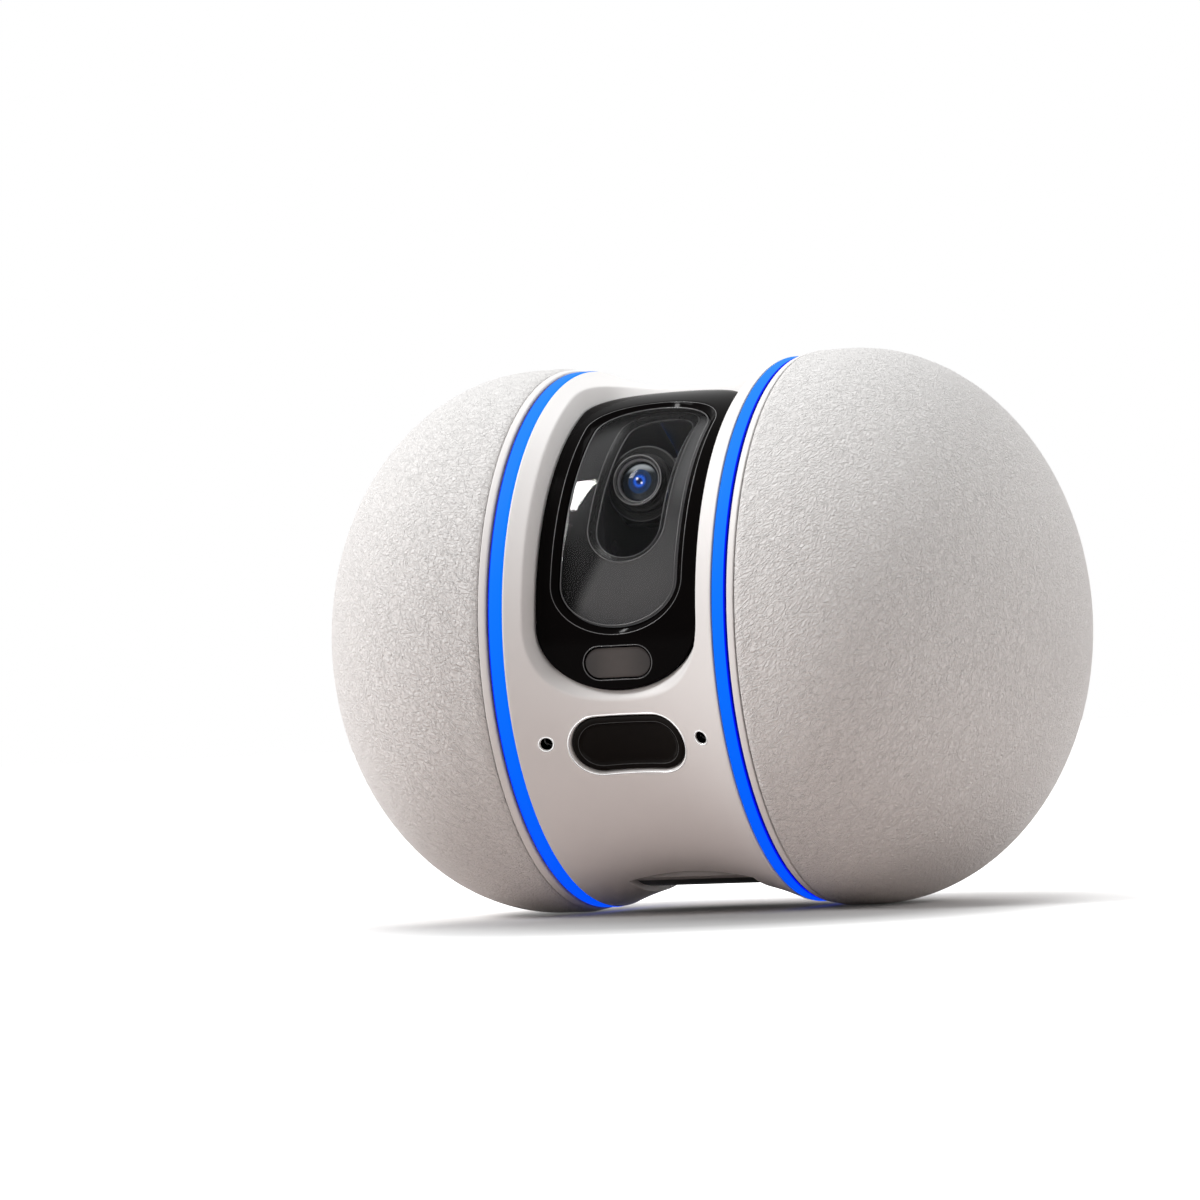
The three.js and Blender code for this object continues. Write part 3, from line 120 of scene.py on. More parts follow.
def without_flat(faces):
    """Faces as lists of corners, where a quad with two corners in one point is a triangle or left out."""
    same = faces == np.roll(faces, -1, axis=1)
    whole = faces[same.sum(1) == 0].tolist()
    for side in range(4):
        corners = [(side + step) % 4 for step in (1, 2, 3)]
        whole += faces[(same.sum(1) == 1) & same[:, side]][:, corners].tolist()
    return whole


def placed(name, data):
    """A new object at the origin, in the scene."""
    piece = bpy.data.objects.new(name, data)
    bpy.context.scene.collection.objects.link(piece)
    return piece


def make(name, points, faces, crease=32.0):
    """A mesh piece at the origin: its faces point outwards, and edges sharper than the crease stay sharp."""
    mesh = bpy.data.meshes.new(name)
    mesh.from_pydata(points.tolist(), [], without_flat(faces))
    form = bmesh.new()
    form.from_mesh(mesh)
    bmesh.ops.recalc_face_normals(form, faces=form.faces)
    if form.calc_volume(signed=True) < 0:
        bmesh.ops.reverse_faces(form, faces=form.faces)
    form.to_mesh(mesh)
    form.free()
    mesh.shade_smooth()
    mesh.set_sharp_from_angle(angle=math.radians(crease))
    return placed(name, mesh)


def eased(points, cuts):
    """Rounds the corners of an open outline: each becomes a quadratic arc that starts and ends a cut away."""
    points = np.asarray(points, float)
    cuts = np.broadcast_to(np.asarray(cuts, float), len(points))[:, None]
    before = np.vstack([points[:1], points[:-1]]) - points
    after = np.vstack([points[1:], points[-1:]]) - points
    reach = [np.hypot(*side.T)[:, None] for side in (before, after)]
    starts, ends = [
        points + side * np.minimum(cuts, 0.45 * length) / np.maximum(length, 1e-9)
        for side, length in zip((before, after), reach)
    ]
    share = np.linspace(0, 1, 5)[None, :, None]
    arcs = (
        starts[:, None] * (1 - share) ** 2
        + 2 * points[:, None] * share * (1 - share)
        + ends[:, None] * share**2
    )
    arcs = arcs.reshape(-1, 2)
    kept = np.ones(len(arcs), bool)
    kept[1:] = np.hypot(*np.diff(arcs, axis=0).T) > 1e-6
    return arcs[kept]


def on_axle(points):
    """Lifts points from the origin to the axle line."""
    return points + [0, 0, AXLE_HEIGHT]


def turned(name, profile, steps, closed=False, place=on_axle):
    """Carries a profile of (along, radius) round its axis: the point is (along, radius cos t, radius sin t).
    A closed profile is a ring; an open one starts and ends on the axis. place moves the points, in mm."""
    profile = np.asarray(profile, float)
    if closed:
        profile = np.vstack([profile, profile[:1]])
    turn = np.linspace(0, 2 * np.pi, steps, endpoint=False)
    along, radius = profile[:, :1], profile[:, 1:]
    points = np.stack([
        along + 0 * turn[None, :],
        radius * np.cos(turn)[None, :],
        radius * np.sin(turn)[None, :],
    ], -1).reshape(-1, 3)
    faces = quads(len(profile), steps, True)
    first, faces = welded(points, 1e-4, faces)
    return make(name, place(points[first]) * METRE, faces)


class Outline:
    """A closed outline on the unrolled body, from its lowest middle point round to the right. Each point is a
    middle plus a width and height times the cosine and sine of a turn, the way in which the outline grows."""

    def __init__(self, middle_x, middle_v, width, height, turns):
        push = np.stack([np.cos(turns), np.sin(turns)], -1)
        points = np.stack([middle_x + width * push[:, 0], middle_v + height * push[:, 1]], -1)
        ends = np.vstack([points, points[:1]])
        lengths = np.hypot(*np.diff(ends, axis=0).T)
        self.share = np.concatenate([[0], np.cumsum(lengths)]) / lengths.sum()
        self.table = np.hstack([ends, np.vstack([push, push[:1]])])

    def at(self, share, across=0.0, along=None):
        """Points at shares of the outline's length, grown by so much across and up the body."""
        x, v, push_x, push_v = [np.interp(share, self.share, column) for column in self.table.T]
        return x + across * push_x, v + (across if along is None else along) * push_v


def oval(half_width, low, high, rise):
    """A window outline: straight sides between two half ellipses. Its ends and rise are angles in degrees."""
    quarter = np.linspace(0, np.pi / 2, 40, endpoint=False)
    side = np.linspace(0, 1, 60, endpoint=False)
    foot, head, height = up(low + rise), up(high - rise), up(rise)
    turns = np.concatenate([
        quarter - np.pi / 2, side * 0, quarter,
        quarter + np.pi / 2, side * 0 + np.pi, quarter + np.pi,
    ])
    straight = np.concatenate([
        quarter * 0 + foot, foot + (head - foot) * side, quarter * 0 + head,
        quarter * 0 + head, head + (foot - head) * side, quarter * 0 + foot,
    ])
    return Outline(0.0, straight, half_width, height, turns)


def pill(half_length, half_height, middle_v, middle_x=0.0):
    """A lying pill: two half circles joined by straight edges; it grows square to its edge."""
    bend = max(half_length - half_height, 0.0)
    half = np.linspace(-np.pi / 2, np.pi / 2, 48, endpoint=False)
    edge = np.linspace(0, 1, 24, endpoint=False)
    turns = np.concatenate([
        edge * 0 - np.pi / 2, half, edge * 0 + np.pi / 2, half + np.pi, edge * 0 + 1.5 * np.pi,
    ])
    centre = np.concatenate([
        bend * edge, half * 0 + bend, bend - 2 * bend * edge, half * 0 - bend, bend * edge - bend,
    ])
    return Outline(middle_x + centre, middle_v, half_height, half_height, turns)


# Outlines on the front: half widths and heights in mm, and angles in degrees up from the front.
WINDOW = oval(19.7, -12.8, 80.0, 15.0)
OPENING = oval(14.5, 1.4, PANE_TOP, 10.5)
SLOT = oval(7.8, 19.0, 69.0, 8.16)
MASK_EDGE = oval(17.6, -0.5, 77.5, 12.0)
NIGHT_PILL = pill(8.0, 3.5, up(-6.5))
NIGHT_HOLE = pill(8.0 + GAP, 3.5 + GAP, up(-6.5))
SENSOR_PILL = pill(14.0, 7.1, up(-25.5))
MIC_HOLES = [(name, pill(1.4, 1.4, up(-23.4), place)) for name, place in (("left", -19.0), ("right", 19.0))]


def frame_of(x0, x1, v0, v1, across, upward):
    """The border of a rectangle on the unrolled body, from its lowest middle point round to the right."""
    xs = np.linspace(x0, x1, across + 1)
    vs = np.linspace(v0, v1, upward + 1)
    half = across // 2
    x = np.concatenate([xs[half:-1], np.full(upward, x1), xs[:0:-1], np.full(upward, x0), xs[:half]])
    v = np.concatenate([np.full(half, v0), vs[:-1], np.full(across, v1), vs[:0:-1], np.full(half, v0)])
    return x, v


def shares_of(x, v):
    """How far round a closed loop each of its points is, as a share of its length."""
    lengths = np.hypot(np.diff(np.append(x, x[0])), np.diff(np.append(v, v[0])))
    return np.concatenate([[0], np.cumsum(lengths[:-1])]) / lengths.sum()


def run_in(inner, outer, steps):
    """Rows of points from an outer loop in to an inner one: the inner one plus a share of the way out."""
    return [near + (far - near) * steps[:, None] for near, far in zip(inner, outer)]


def rows_of(outline, share, rows):
    """The points of an outline for each row of reach outside it and depth, as grids of x, v and depth."""
    edges = [outline.at(share, reach) for reach, _ in rows]
    x, v = [np.stack(lines) for lines in zip(*edges)]
    return x, v, np.array([depth for _, depth in rows])[:, None] + 0 * x


def round_hole(border, outline, rows, steps):
    """Rows of points from a border in to a hole's first row, and then its other rows of reach and depth."""
    share = shares_of(*border)
    x, v = run_in(outline.at(share, rows[0][0]), border, steps)
    rim_x, rim_v, depth = rows_of(outline, share, rows[1:])
    return np.vstack([x, rim_x]), np.vstack([v, rim_v]), np.vstack([0 * x, depth])


class Shell:
    """A wall on the unrolled body, gathered as grids of x, v, outer radius and inner radius."""

    def __init__(self):
        self.points, self.faces, self.count = [], [], 0

    def add(self, x, v, outer, inner, closed):
        """Adds a grid. The last column of a closed one joins its first."""
        columns = [np.broadcast_to(values, x.shape) for values in (x, v, outer, inner)]
        self.points.append(np.stack(columns, -1).reshape(-1, 4))
        self.faces.append(quads(*x.shape, closed) + self.count)
        self.count += x.size

    def piece(self, name, crease=32.0):
        """Joins the grids, copies them at the inner radius, and closes the wall along every free edge."""
        points = np.concatenate(self.points)
        first, faces = welded(points[:, :3], 1e-3, np.concatenate(self.faces))
        points = points[first]
        edges = np.stack([faces, np.roll(faces, -1, axis=1)], -1).reshape(-1, 2)
        edges = edges[edges[:, 0] != edges[:, 1]]
        _, which, uses = np.unique(np.sort(edges, 1), axis=0, return_inverse=True, return_counts=True)
        free = edges[uses[which.reshape(-1)] == 1]
        inner = len(points)
        walls = np.stack([free[:, 0], free[:, 0] + inner, free[:, 1] + inner, free[:, 1]], -1)
        x, v, outside, inside = points.T
        corners = np.concatenate([on_body(x, v, outside), on_body(x, v, inside)])
        return make(name, corners, np.concatenate([faces, faces[:, ::-1] + inner, walls]), crease)


def wall_of(name, x, v, outer, inner, crease=32.0):
    """A wall of one grid that closes on itself."""
    shell = Shell()
    shell.add(x, v, outer, inner, True)
    return shell.piece(name, crease)


def body_wall(outer, x):
    """Inner radius of the body's wall: a wall below the saddle, and always some way below the outside."""
    return np.minimum(saddle(x) - SHELL_WALL, outer - SHELL_WALL / 2)


def body_grid(shell, x0, x1, v0, v1, across, upward):
    """A plain stretch of the body."""
    x, v = np.meshgrid(np.linspace(x0, x1, across + 1), np.linspace(v0, v1, upward + 1))
    outer = saddle(x)
    shell.add(x, v, outer, body_wall(outer, x), False)


def body_sides(shell, v0, v1, upward):
    """Two plain stretches, left and right of the middle columns."""
    body_grid(shell, -HALF, -MIC_EDGE, v0, v1, MIC_COLUMNS, upward)
    body_grid(shell, MIC_EDGE, HALF, v0, v1, MIC_COLUMNS, upward)


def body_hole(shell, border, outline, radius, wall, rows, gather):
    """A stretch of the body round an opening, with rows that gather towards it, follow a quarter circle
    over its edge, and end so far down its wall."""
    turn = np.linspace(0, np.pi / 2, 5)
    rim = [(radius * (1 - math.sin(t)), radius * (1 - math.cos(t))) for t in turn] + [(0.0, wall)]
    x, v, depth = round_hole(border, outline, rim, np.linspace(1, 0, rows) ** gather)
    outer = saddle(x) - depth
    shell.add(x, v, outer, body_wall(outer, x), True)


def body_ends(shell, v0, v1, upward):
    """The rounded outer edges of the body, a quarter circle from the saddle to each end face."""
    v = np.linspace(v0, v1, upward + 1)[None, :]
    for side in (-1, 1):
        turn = np.linspace(0, np.pi / 2, 5)[:, None]
        x = side * (HALF + END_ROUND * np.sin(turn)) + 0 * v
        outer = saddle(x) - END_ROUND * (1 - np.cos(turn))
        shell.add(x, v + 0 * x, outer, body_wall(outer, x), False)


def plate(name, outline, rows, surface, wall, upright, count, fill=10):
    """A thin closed plate on the body: rows of reach and depth round its edge, and a middle run in to a line.
    surface gives its outer radius from x and v; an upright plate runs in across x, a lying one across v."""
    x, v, depth = rows_of(outline, np.arange(count) / count, rows)
    last = x[-1], v[-1]
    middle_x, middle_v = [0.5 * (line.max() + line.min()) for line in last]
    spine = (middle_x, v[-1]) if upright else (x[-1], middle_v)
    more_x, more_v = run_in(spine, last, np.linspace(1, 0, fill)[1:])
    x, v = np.vstack([x, more_x]), np.vstack([v, more_v])
    depth = np.vstack([depth, depth[-1:] + 0 * more_x])
    outer = surface(x, v) - depth
    return wall_of(name, x, v, outer, np.minimum(surface(x, v) - wall, outer - 0.3))


def bead(name, outline, reach, width, surface, height, count=260, depth=0.15):
    """A fine raised line round an outline: half a sine wave across its width, on a surface from x and v."""
    turn = np.linspace(0, np.pi, 7)[:, None]
    rows = [(reach + width * across, 0.0) for across in np.linspace(-0.5, 0.5, 7)]
    x, v, _ = rows_of(outline, np.arange(count) / count, rows)
    return wall_of(name, x, v, surface(x, v) + height * np.sin(turn), surface(x, v) - depth, 60.0)


# Finishes

class Value:
    """A number that varies over a surface, so that shader maths reads as Python."""

    def __init__(self, nodes, socket):
        self.nodes, self.socket = nodes, socket

    def maths(self, operation, *others):
        return self.nodes.node("ShaderNodeMath", {"operation": operation}, dict(enumerate([self, *others])))

    def __add__(self, other):
        return self.maths("ADD", other)

    __radd__ = __add__

    def __sub__(self, other):
        return self.maths("SUBTRACT", other)

    def __rsub__(self, other):
        return self.nodes.node("ShaderNodeMath", {"operation": "SUBTRACT"}, {0: other, 1: self})

    def __mul__(self, other):
        return self.maths("MULTIPLY", other)

    __rmul__ = __mul__

    def __truediv__(self, other):
        return self.maths("DIVIDE", other)

    def __pow__(self, other):
        return self.maths("POWER", other)

    def __abs__(self):
        return self.maths("ABSOLUTE")

    def above(self, edge, soft):
        """0 below the edge and 1 above it, with a soft step between."""
        return self.nodes.node(
            "ShaderNodeMapRange",
            {"interpolation_type": "SMOOTHSTEP"},
            {"Value": self, "From Min": edge - soft, "From Max": edge + soft},
        )


class Nodes:
    """A node tree, and its one shader, whose other nodes all come from one method."""

    def __init__(self, owner, kind):
        owner.use_nodes = True
        self.tree = owner.node_tree
        self.shader = next(node for node in self.tree.nodes if node.type == kind)

    def node(self, kind, settings, sockets, out=0):
        """A node of a kind, with its settings made first and then the values or links of its sockets."""
        node = self.tree.nodes.new(kind)
        for setting, value in settings.items():
            if setting == "stops":
                ramp = node.color_ramp
                for stop, (at, colour) in enumerate(value):
                    element = ramp.elements[stop] if stop < 2 else ramp.elements.new(at)
                    element.position, element.color = at, (*colour, 1)
            else:
                setattr(node, setting, value)
        for socket, value in sockets.items():
            if isinstance(value, Value):
                self.tree.links.new(value.socket, node.inputs[socket])
            else:
                node.inputs[socket].default_value = value
        return Value(self, node.outputs[out])

    def feed(self, socket, value):
        self.tree.links.new(value.socket, self.shader.inputs[socket])

    def seen(self):
        """1 for what the camera, gloss or glass sees, and 0 for what a surface gathers as light."""
        outputs = [f"Is {kind} Ray" for kind in ("Camera", "Glossy", "Transmission")]
        camera, gloss, glass = [self.node("ShaderNodeLightPath", {}, {}, output) for output in outputs]
        return camera.maths("MAXIMUM", gloss).maths("MAXIMUM", glass)


class Finish(Nodes):
    """A procedural material with one Principled shader."""

    def __init__(self, name, **settings):
        self.material = bpy.data.materials.new(name)
        super().__init__(self.material, "BSDF_PRINCIPLED")
        for socket, value in settings.items():
            self.shader.inputs[socket.replace("_", " ")].default_value = value
        self.place = self.node("ShaderNodeTexCoord", {}, {}, "Object")

    def noise(self, scale, detail=3.0, roughness=0.5, distortion=0.0, place=None):
        sockets = {"Vector": place or self.place, "Scale": scale, "Detail": detail}
        sockets.update({"Roughness": roughness, "Distortion": distortion})
        return self.node("ShaderNodeTexNoise", {}, sockets, "Fac")

    def cells(self, scale, feature, place=None):
        sockets = {"Vector": place or self.place, "Scale": scale}
        if feature == "SMOOTH_F1":
            sockets["Smoothness"] = 0.5
        return self.node("ShaderNodeTexVoronoi", {"feature": feature}, sockets, "Distance")

    def axis(self, name, place=None):
        return self.node("ShaderNodeSeparateXYZ", {}, {0: place or self.place}, name)

    def blend(self, factor, first, second):
        """One colour or another by a factor."""
        first, second = [c if isinstance(c, Value) else (*c, 1) for c in (first, second)]
        return self.node("ShaderNodeMix", {"data_type": "RGBA"}, {"Factor": factor, 6: first, 7: second}, 2)

    def coloured(self, factor, first, second):
        """Makes the surface one colour or another by a factor."""
        self.feed("Base Color", self.blend(factor, first, second))

    def ramp(self, factor, stops):
        return self.node("ShaderNodeValToRGB", {"stops": stops}, {"Fac": factor}, "Color")

    def vector(self, operation, sockets, out=0):
        """Vector maths on places; its result is a vector, or a number with out set to Value."""
        return self.node("ShaderNodeVectorMath", {"operation": operation}, sockets, out)

    def bump(self, height, strength, distance):
        sockets = {"Strength": strength, "Distance": distance, "Height": height}
        self.feed("Normal", self.node("ShaderNodeBump", {}, sockets, "Normal"))


def moulded(name, colour, roughness, shade=0.05, grain=0.15, **settings):
    """Moulded plastic: faint clouds in its colour, slightly uneven gloss and a barely rough skin.
    Without a colour here, it gets one later."""
    finish = Finish(name, **settings)
    if colour:
        finish.coloured(finish.noise(45.0, 4.0), tuple(c * (1 - shade) for c in colour), colour)
    finish.feed("Roughness", finish.noise(160.0, 2.0) * 0.08 + (roughness - 0.04))
    finish.bump(finish.noise(2600.0, 2.0), grain, 0.00006)
    return finish


def paint(piece, finish):
    """Gives a piece one finish in all its slots."""
    piece.data.materials.clear()
    piece.data.materials.append(finish.material)


def fitted(piece, body, slot, finish, *stands_for):
    """Gives a piece its finish, seats it on its body, and hides the solids that it stands for. Its slot is
    not used.
    """
    paint(piece, finish)
    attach(piece, body)
    if stands_for:
        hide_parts(*stands_for)
    return piece


# Camera and light

def aimed(name, data, position, side, head, back):
    """A new object at a position, with its own x, y and z along three directions."""
    item = placed(name, data)
    item.matrix_world = Matrix.Translation(position) @ Matrix((side, head, back)).transposed().to_4x4()
    return item


def add_camera():
    """The photograph's view: yaw, pitch and roll in degrees, and a lens for a frame 36 mm wide."""
    yaw, pitch, roll = math.radians(22.93), math.radians(1.41), math.radians(-2.49)
    forward = Vector((-math.sin(yaw) * math.cos(pitch), math.cos(yaw) * math.cos(pitch), math.sin(pitch)))
    level = Vector((math.cos(yaw), math.sin(yaw), 0))
    above = level.cross(forward)
    right = level * math.cos(roll) + above * math.sin(roll)
    head = above * math.cos(roll) - level * math.sin(roll)
    data = bpy.data.cameras.new("photo_view")
    data.lens, data.sensor_width, data.clip_start = 153.9, 36.0, 0.01
    position = (0.44973, -1.12935, 0.04417)
    bpy.context.scene.camera = aimed("photo_view", data, position, right, head, -forward)


def add_lamp(name, position, target, size, watts, along=(0, 0, 1)):
    """A rectangular softbox that faces a point, with the second side of its size in one direction."""
    data = bpy.data.lights.new(name, "AREA")
    data.shape, (data.size, data.size_y) = "RECTANGLE", size
    data.energy = watts
    back = (Vector(position) - Vector(target)).normalized()
    side = Vector(along).cross(back).normalized()
    return aimed(name, data, position, side, back.cross(side), back)


def light_studio():
    """Four softboxes that face the object, and a narrow lamp that only gives the pane its highlight."""
    middle = (0, 0, 0.06)
    for name, position, side, watts in (
        ("key_softbox", (-0.98, -0.66, 1.02), 0.5, 14.0),
        ("left_softbox", (-1.35, 0.25, 0.50), 0.8, 3.5),
        ("right_softbox", (1.35, 0.25, 0.55), 0.9, 5.2),
        ("top_softbox", (0.10, 0.20, 1.30), 0.6, 5.8),
    ):
        add_lamp(name, position, middle, (side, side), watts)
    spot = (-0.014, -0.0465, 0.098)
    catch = add_lamp("catch_light", (-0.246, -0.172, 0.522), spot, (0.027, 0.13), 1.5, (-0.20, -1, -0.3))
    catch.visible_diffuse = False


def add_world(strength):
    """A white backdrop for the camera, gloss and glass, and a softer light for the surfaces."""
    world = bpy.data.worlds.new("studio")
    bpy.context.scene.world = world
    sky = Nodes(world, "BACKGROUND")
    sky.shader.inputs["Color"].default_value = (1, 1, 1, 1)
    sky.feed("Strength", sky.seen() * (1 - strength) + strength)


def greys(*stops):
    """Stops of a grey ramp from places and levels."""
    return [(at, (level, level, level)) for at, level in stops]


def add_floor():
    """A flat round floor: rings of points whose radius grows with the square of their number.
    It is seen white but for the object's shadow, has a painted shadow that darkens it close to the object,
    and sends less light to surfaces."""
    rings, spokes, reach = 23, 64, 14.0
    radius = np.linspace(0.0, 1.0, rings + 1)[1:, None] ** 2 * reach
    turn = np.linspace(0, 2 * np.pi, spokes, endpoint=False)[None, :]
    points = np.stack([radius * np.cos(turn), radius * np.sin(turn), 0 * radius * turn], -1).reshape(-1, 3)
    mesh = bpy.data.meshes.new("floor")
    mesh.from_pydata(points.tolist(), [], quads(rings, spokes, True).tolist() + [list(range(spokes))])
    floor = placed("floor", mesh)
    finish = Finish("pale_floor", Roughness=0.9, Specular_IOR_Level=0.0, Emission_Strength=1.0)
    seen = finish.seen()
    shadow_middle = (0.020, -0.055, 0.0)
    away = finish.vector("SUBTRACT", {0: finish.place, 1: shadow_middle})
    away = finish.vector("LENGTH", {0: away}, "Value")
    # glare is emission that makes the floor white away from the object and fades out close to it, so that the
    # shadow and the painted shadow there show.
    glare = finish.ramp(away, greys((0.0, 0.0), (0.065, 0.02), (0.115, 0.50), (0.15, 1.0)))
    # pale is the floor's seen colour, darker close to the object: a painted shadow.
    pale = finish.ramp(away, greys((0.0, 0.36), (0.042, 0.46), (0.085, 0.90)))
    finish.coloured(seen, (0.60, 0.52, 0.49), pale)
    finish.feed("Emission Color", finish.blend(seen, (0.0, 0.0, 0.0), glare))
    paint(floor, finish)


# Body

def window_rows(border):
    """The body round the camera window: in to the window's outer edge, round it, and down the bevel.
    The bevel leans a little across and more up for each mm that it drops to the panel's foot."""
    lean_across, lean_up, round_drop, round_reach = 0.24, 1.2, 0.4, 0.45
    share = shares_of(*border)

    def bevel(radius, spread=0.0):
        """A ring round the window that grows with its height above the panel's foot, and by a spread."""
        drop = radius - PANEL_FOOT
        return WINDOW.at(share, GAP + lean_across * drop + spread, GAP + lean_up * drop + spread)

    # The bevel's corner is on the saddle, so its radius and its place are found in turn.
    radius = np.full(share.shape, WAIST)
    for _ in range(12):
        radius = saddle(bevel(radius)[0])
    corner, start, end = bevel(radius), bevel(radius, round_reach), bevel(radius - round_drop)
    x, v = run_in(start, border, np.linspace(1, 0, 16) ** 1.7)
    t = np.linspace(0, 1, 6)[1:, None]
    weights = (1 - t) ** 2, 2 * t * (1 - t), t**2

    def rounded(first, middle, last):
        """A quadratic arc between two rows, with a middle row as its corner."""
        return weights[0] * first + weights[1] * middle + weights[2] * last

    outer = np.vstack([saddle(x), rounded(saddle(start[0]), radius, radius - round_drop)])
    x = np.vstack([x, rounded(start[0], corner[0], end[0])])
    v = np.vstack([v, rounded(start[1], corner[1], end[1])])
    for share_down in (0.33, 0.66, 1.0):
        lower = (radius - round_drop) * (1 - share_down) + PANEL_FOOT * share_down
        down_x, down_v = bevel(lower)
        x, v, outer = np.vstack([x, down_x]), np.vstack([v, down_v]), np.vstack([outer, lower])
    return x, v, outer


def build_front(white):
    """The front half of the body, from the seam under it over the front to the seam on top."""
    shell = Shell()
    bounds = [up(angle) for angle in (-95.9, -71.4, -34.8, -16.6, 95.9)]
    upward = 24, 52, 24, 160
    seam_low, plate_top, sensor_low, sensor_top, seam_high = bounds
    body_sides(shell, seam_low, plate_top, upward[0])
    body_grid(shell, -HALF, HALF, plate_top, sensor_low, COLUMNS, upward[1])
    border = frame_of(-MIC_EDGE, MIC_EDGE, sensor_low, sensor_top, COLUMNS - 2 * MIC_COLUMNS, upward[2])
    body_hole(shell, border, SENSOR_PILL, 0.45, 2.3, 8, 1.3)
    for (_, outline), ends in zip(MIC_HOLES, ((-HALF, -MIC_EDGE), (MIC_EDGE, HALF))):
        border = frame_of(*ends, sensor_low, sensor_top, MIC_COLUMNS, upward[2])
        body_hole(shell, border, outline, 0.4, 2.2, 10, 1.5)
    x, v, outer = window_rows(frame_of(-HALF, HALF, sensor_top, seam_high, COLUMNS, upward[3]))
    shell.add(x, v, outer, body_wall(outer, x), True)
    for v0, v1, count in zip(bounds, bounds[1:], upward):
        body_ends(shell, v0, v1, count)
    fitted(shell.piece("front_body"), "body", "white_shell", white, "front_shell")


def build_rear(white):
    """The rear half in bands, round the button, the speaker's slots and the socket, down to the lower seam.
    Two thin strips behind the seams keep the light of the rings in."""
    shell = Shell()
    bounds = [96.2, 125.0, 145.0, 164.2, 168.15, 172.13, 176.08, 180.0, 183.95, 195.7, 203.7, 251.4, 263.8]
    upward = [42, 28, 28, 6, 6, 6, 6, 6, 18, 12, 68, 18]
    button, first_slot, socket, plate_band = 1, 3, 9, 11
    slot_pitch, slot_top = 4.0, 14.0
    holes = {
        button: (pill(6.0, 6.0, up(BUTTON_ANGLE)), 0.4, 2.3, 12, 1.3),
        socket: (pill(4.8, 1.95, up(199.7)), 0.3, 2.2, 8, 1.2),
    }
    for slot, half in enumerate((8.94, 11.3, 12.0, 11.3, 8.94)):
        middle = up(180.0 - math.degrees(math.asin((slot_top - slot_pitch * slot) / WAIST)))
        holes[first_slot + slot] = pill(half, 0.8, middle), 0.25, 2.2, 6, 1.2
    for part, count in enumerate(upward):
        v0, v1 = up(bounds[part]), up(bounds[part + 1])
        if part in holes:
            body_hole(shell, frame_of(-HALF, HALF, v0, v1, COLUMNS, count), *holes[part])
        elif part == plate_band:
            body_sides(shell, v0, v1, count)
        else:
            body_grid(shell, -HALF, HALF, v0, v1, COLUMNS, count)
        body_ends(shell, v0, v1, count)
    fitted(shell.piece("rear_body"), "body", "white_shell", white, "rear_shell")
    tongue = Shell()
    for v0, v1 in ((up(95.93), up(96.17)), (up(263.83), up(264.07))):
        x, v = np.meshgrid(np.linspace(-HALF, HALF, COLUMNS + 1), np.linspace(v0, v1, 3))
        tongue.add(x, v, saddle(x) - 0.7, saddle(x) - SHELL_WALL + 0.1, False)
    fitted(tongue.piece("seam_tongue"), "body", "white_shell", white)


# Camera window

def level(radius):
    """A surface at one radius everywhere."""
    return lambda x, v: radius + 0 * x


def under(depth):
    """A surface so far below the saddle."""
    return lambda x, v: saddle(x) - depth


def build_fascia(black):
    """The gloss panel: two rings of rows, one round the pane's opening and one round the pill below it.
    A line across the panel parts the two rings."""
    count, split, split_angle = 320, 61, -1.75
    share = np.arange(count) / count
    outer = np.array(WINDOW.at(share, -GAP))
    right = int(np.argmin(np.abs(outer[1, : count // 2] - up(split_angle))))
    left = count - right
    line = np.linspace(outer[:, left], outer[:, right], split).T
    half = split // 2
    upper = np.hstack([line[:, half:-1], outer[:, right:left], line[:, :half]])
    lower = np.hstack([outer[:, :right], line[:, :0:-1], outer[:, left:]])
    shell = Shell()
    groove = [(1.60, 0.0), (1.52, 0.02), (1.45, 0.06), (1.38, 0.13), (0.35, 0.95), (0.1, 1.07), (0.0, 1.3)]
    hole = [(0.25, 0.0), (0.1, 0.04), (0.0, 0.2)]
    for loop, outline, rows in ((upper, OPENING, groove), (lower, NIGHT_HOLE, hole)):
        x, v, depth = round_hole(loop, outline, rows, np.linspace(1, 0, 9))
        shell.add(x, v, FASCIA - depth, FASCIA - PANEL_WALL, True)
    x, v, depth = rows_of(WINDOW, share, [(-0.3, 0.0), (-0.13, 0.04), (-0.03, 0.14), (0.0, 0.32)])
    shell.add(x, v, FASCIA - depth, FASCIA - PANEL_WALL, True)
    fitted(shell.piece("gloss_panel", 24.0), "body", "black_panel", black, "window_fascia")


def pane_surface(x, v):
    """The pane's crown: highest in the middle, by a parabola across it."""
    return PANE + 0.35 * (1 - (x / PANE_HALF) ** 2)


def build_pane(glass, line):
    """The smoked pane with a slight crown, and fine grey lines round it, its groove and the night light, as
    painted highlights on those edges.
    """
    edge = [(-0.3, 0.5), (-0.3, 0.14), (-0.36, 0.04), (-0.5, 0.0)]
    pane = plate("pane", OPENING, edge, pane_surface, 0.9, True, 260, fill=24)
    fitted(pane, "body", "smoked_pane", glass, "smoked_pane")
    # Painted highlights: fine grey lines on the edges, where light would catch them.
    for ring in (
        ("pane_edge", OPENING, -0.50, 0.24, lambda x, v: pane_surface(x, v) - 0.02, 0.06),
        ("groove_edge", OPENING, 1.62, 0.18, level(FASCIA), 0.05),
        ("night_edge", NIGHT_PILL, 0.42, 0.20, level(FASCIA), 0.04),
    ):
        fitted(bead(*ring), "body", "black_plastic", line)


def build_slot_lines(slot_highlight):
    """Two fine grey lines round the mask's slot, one on its face and one at the foot of its trim, as painted
    highlights on those edges.
    """
    for name, reach, sink in (("slot_edge", 1.75, 0.0), ("slot_foot", 0.12, 1.2)):
        ring = bead(name, SLOT, reach, 0.30, level(MASK - sink), 0.12)
        fitted(ring, "body", "black_plastic", slot_highlight)


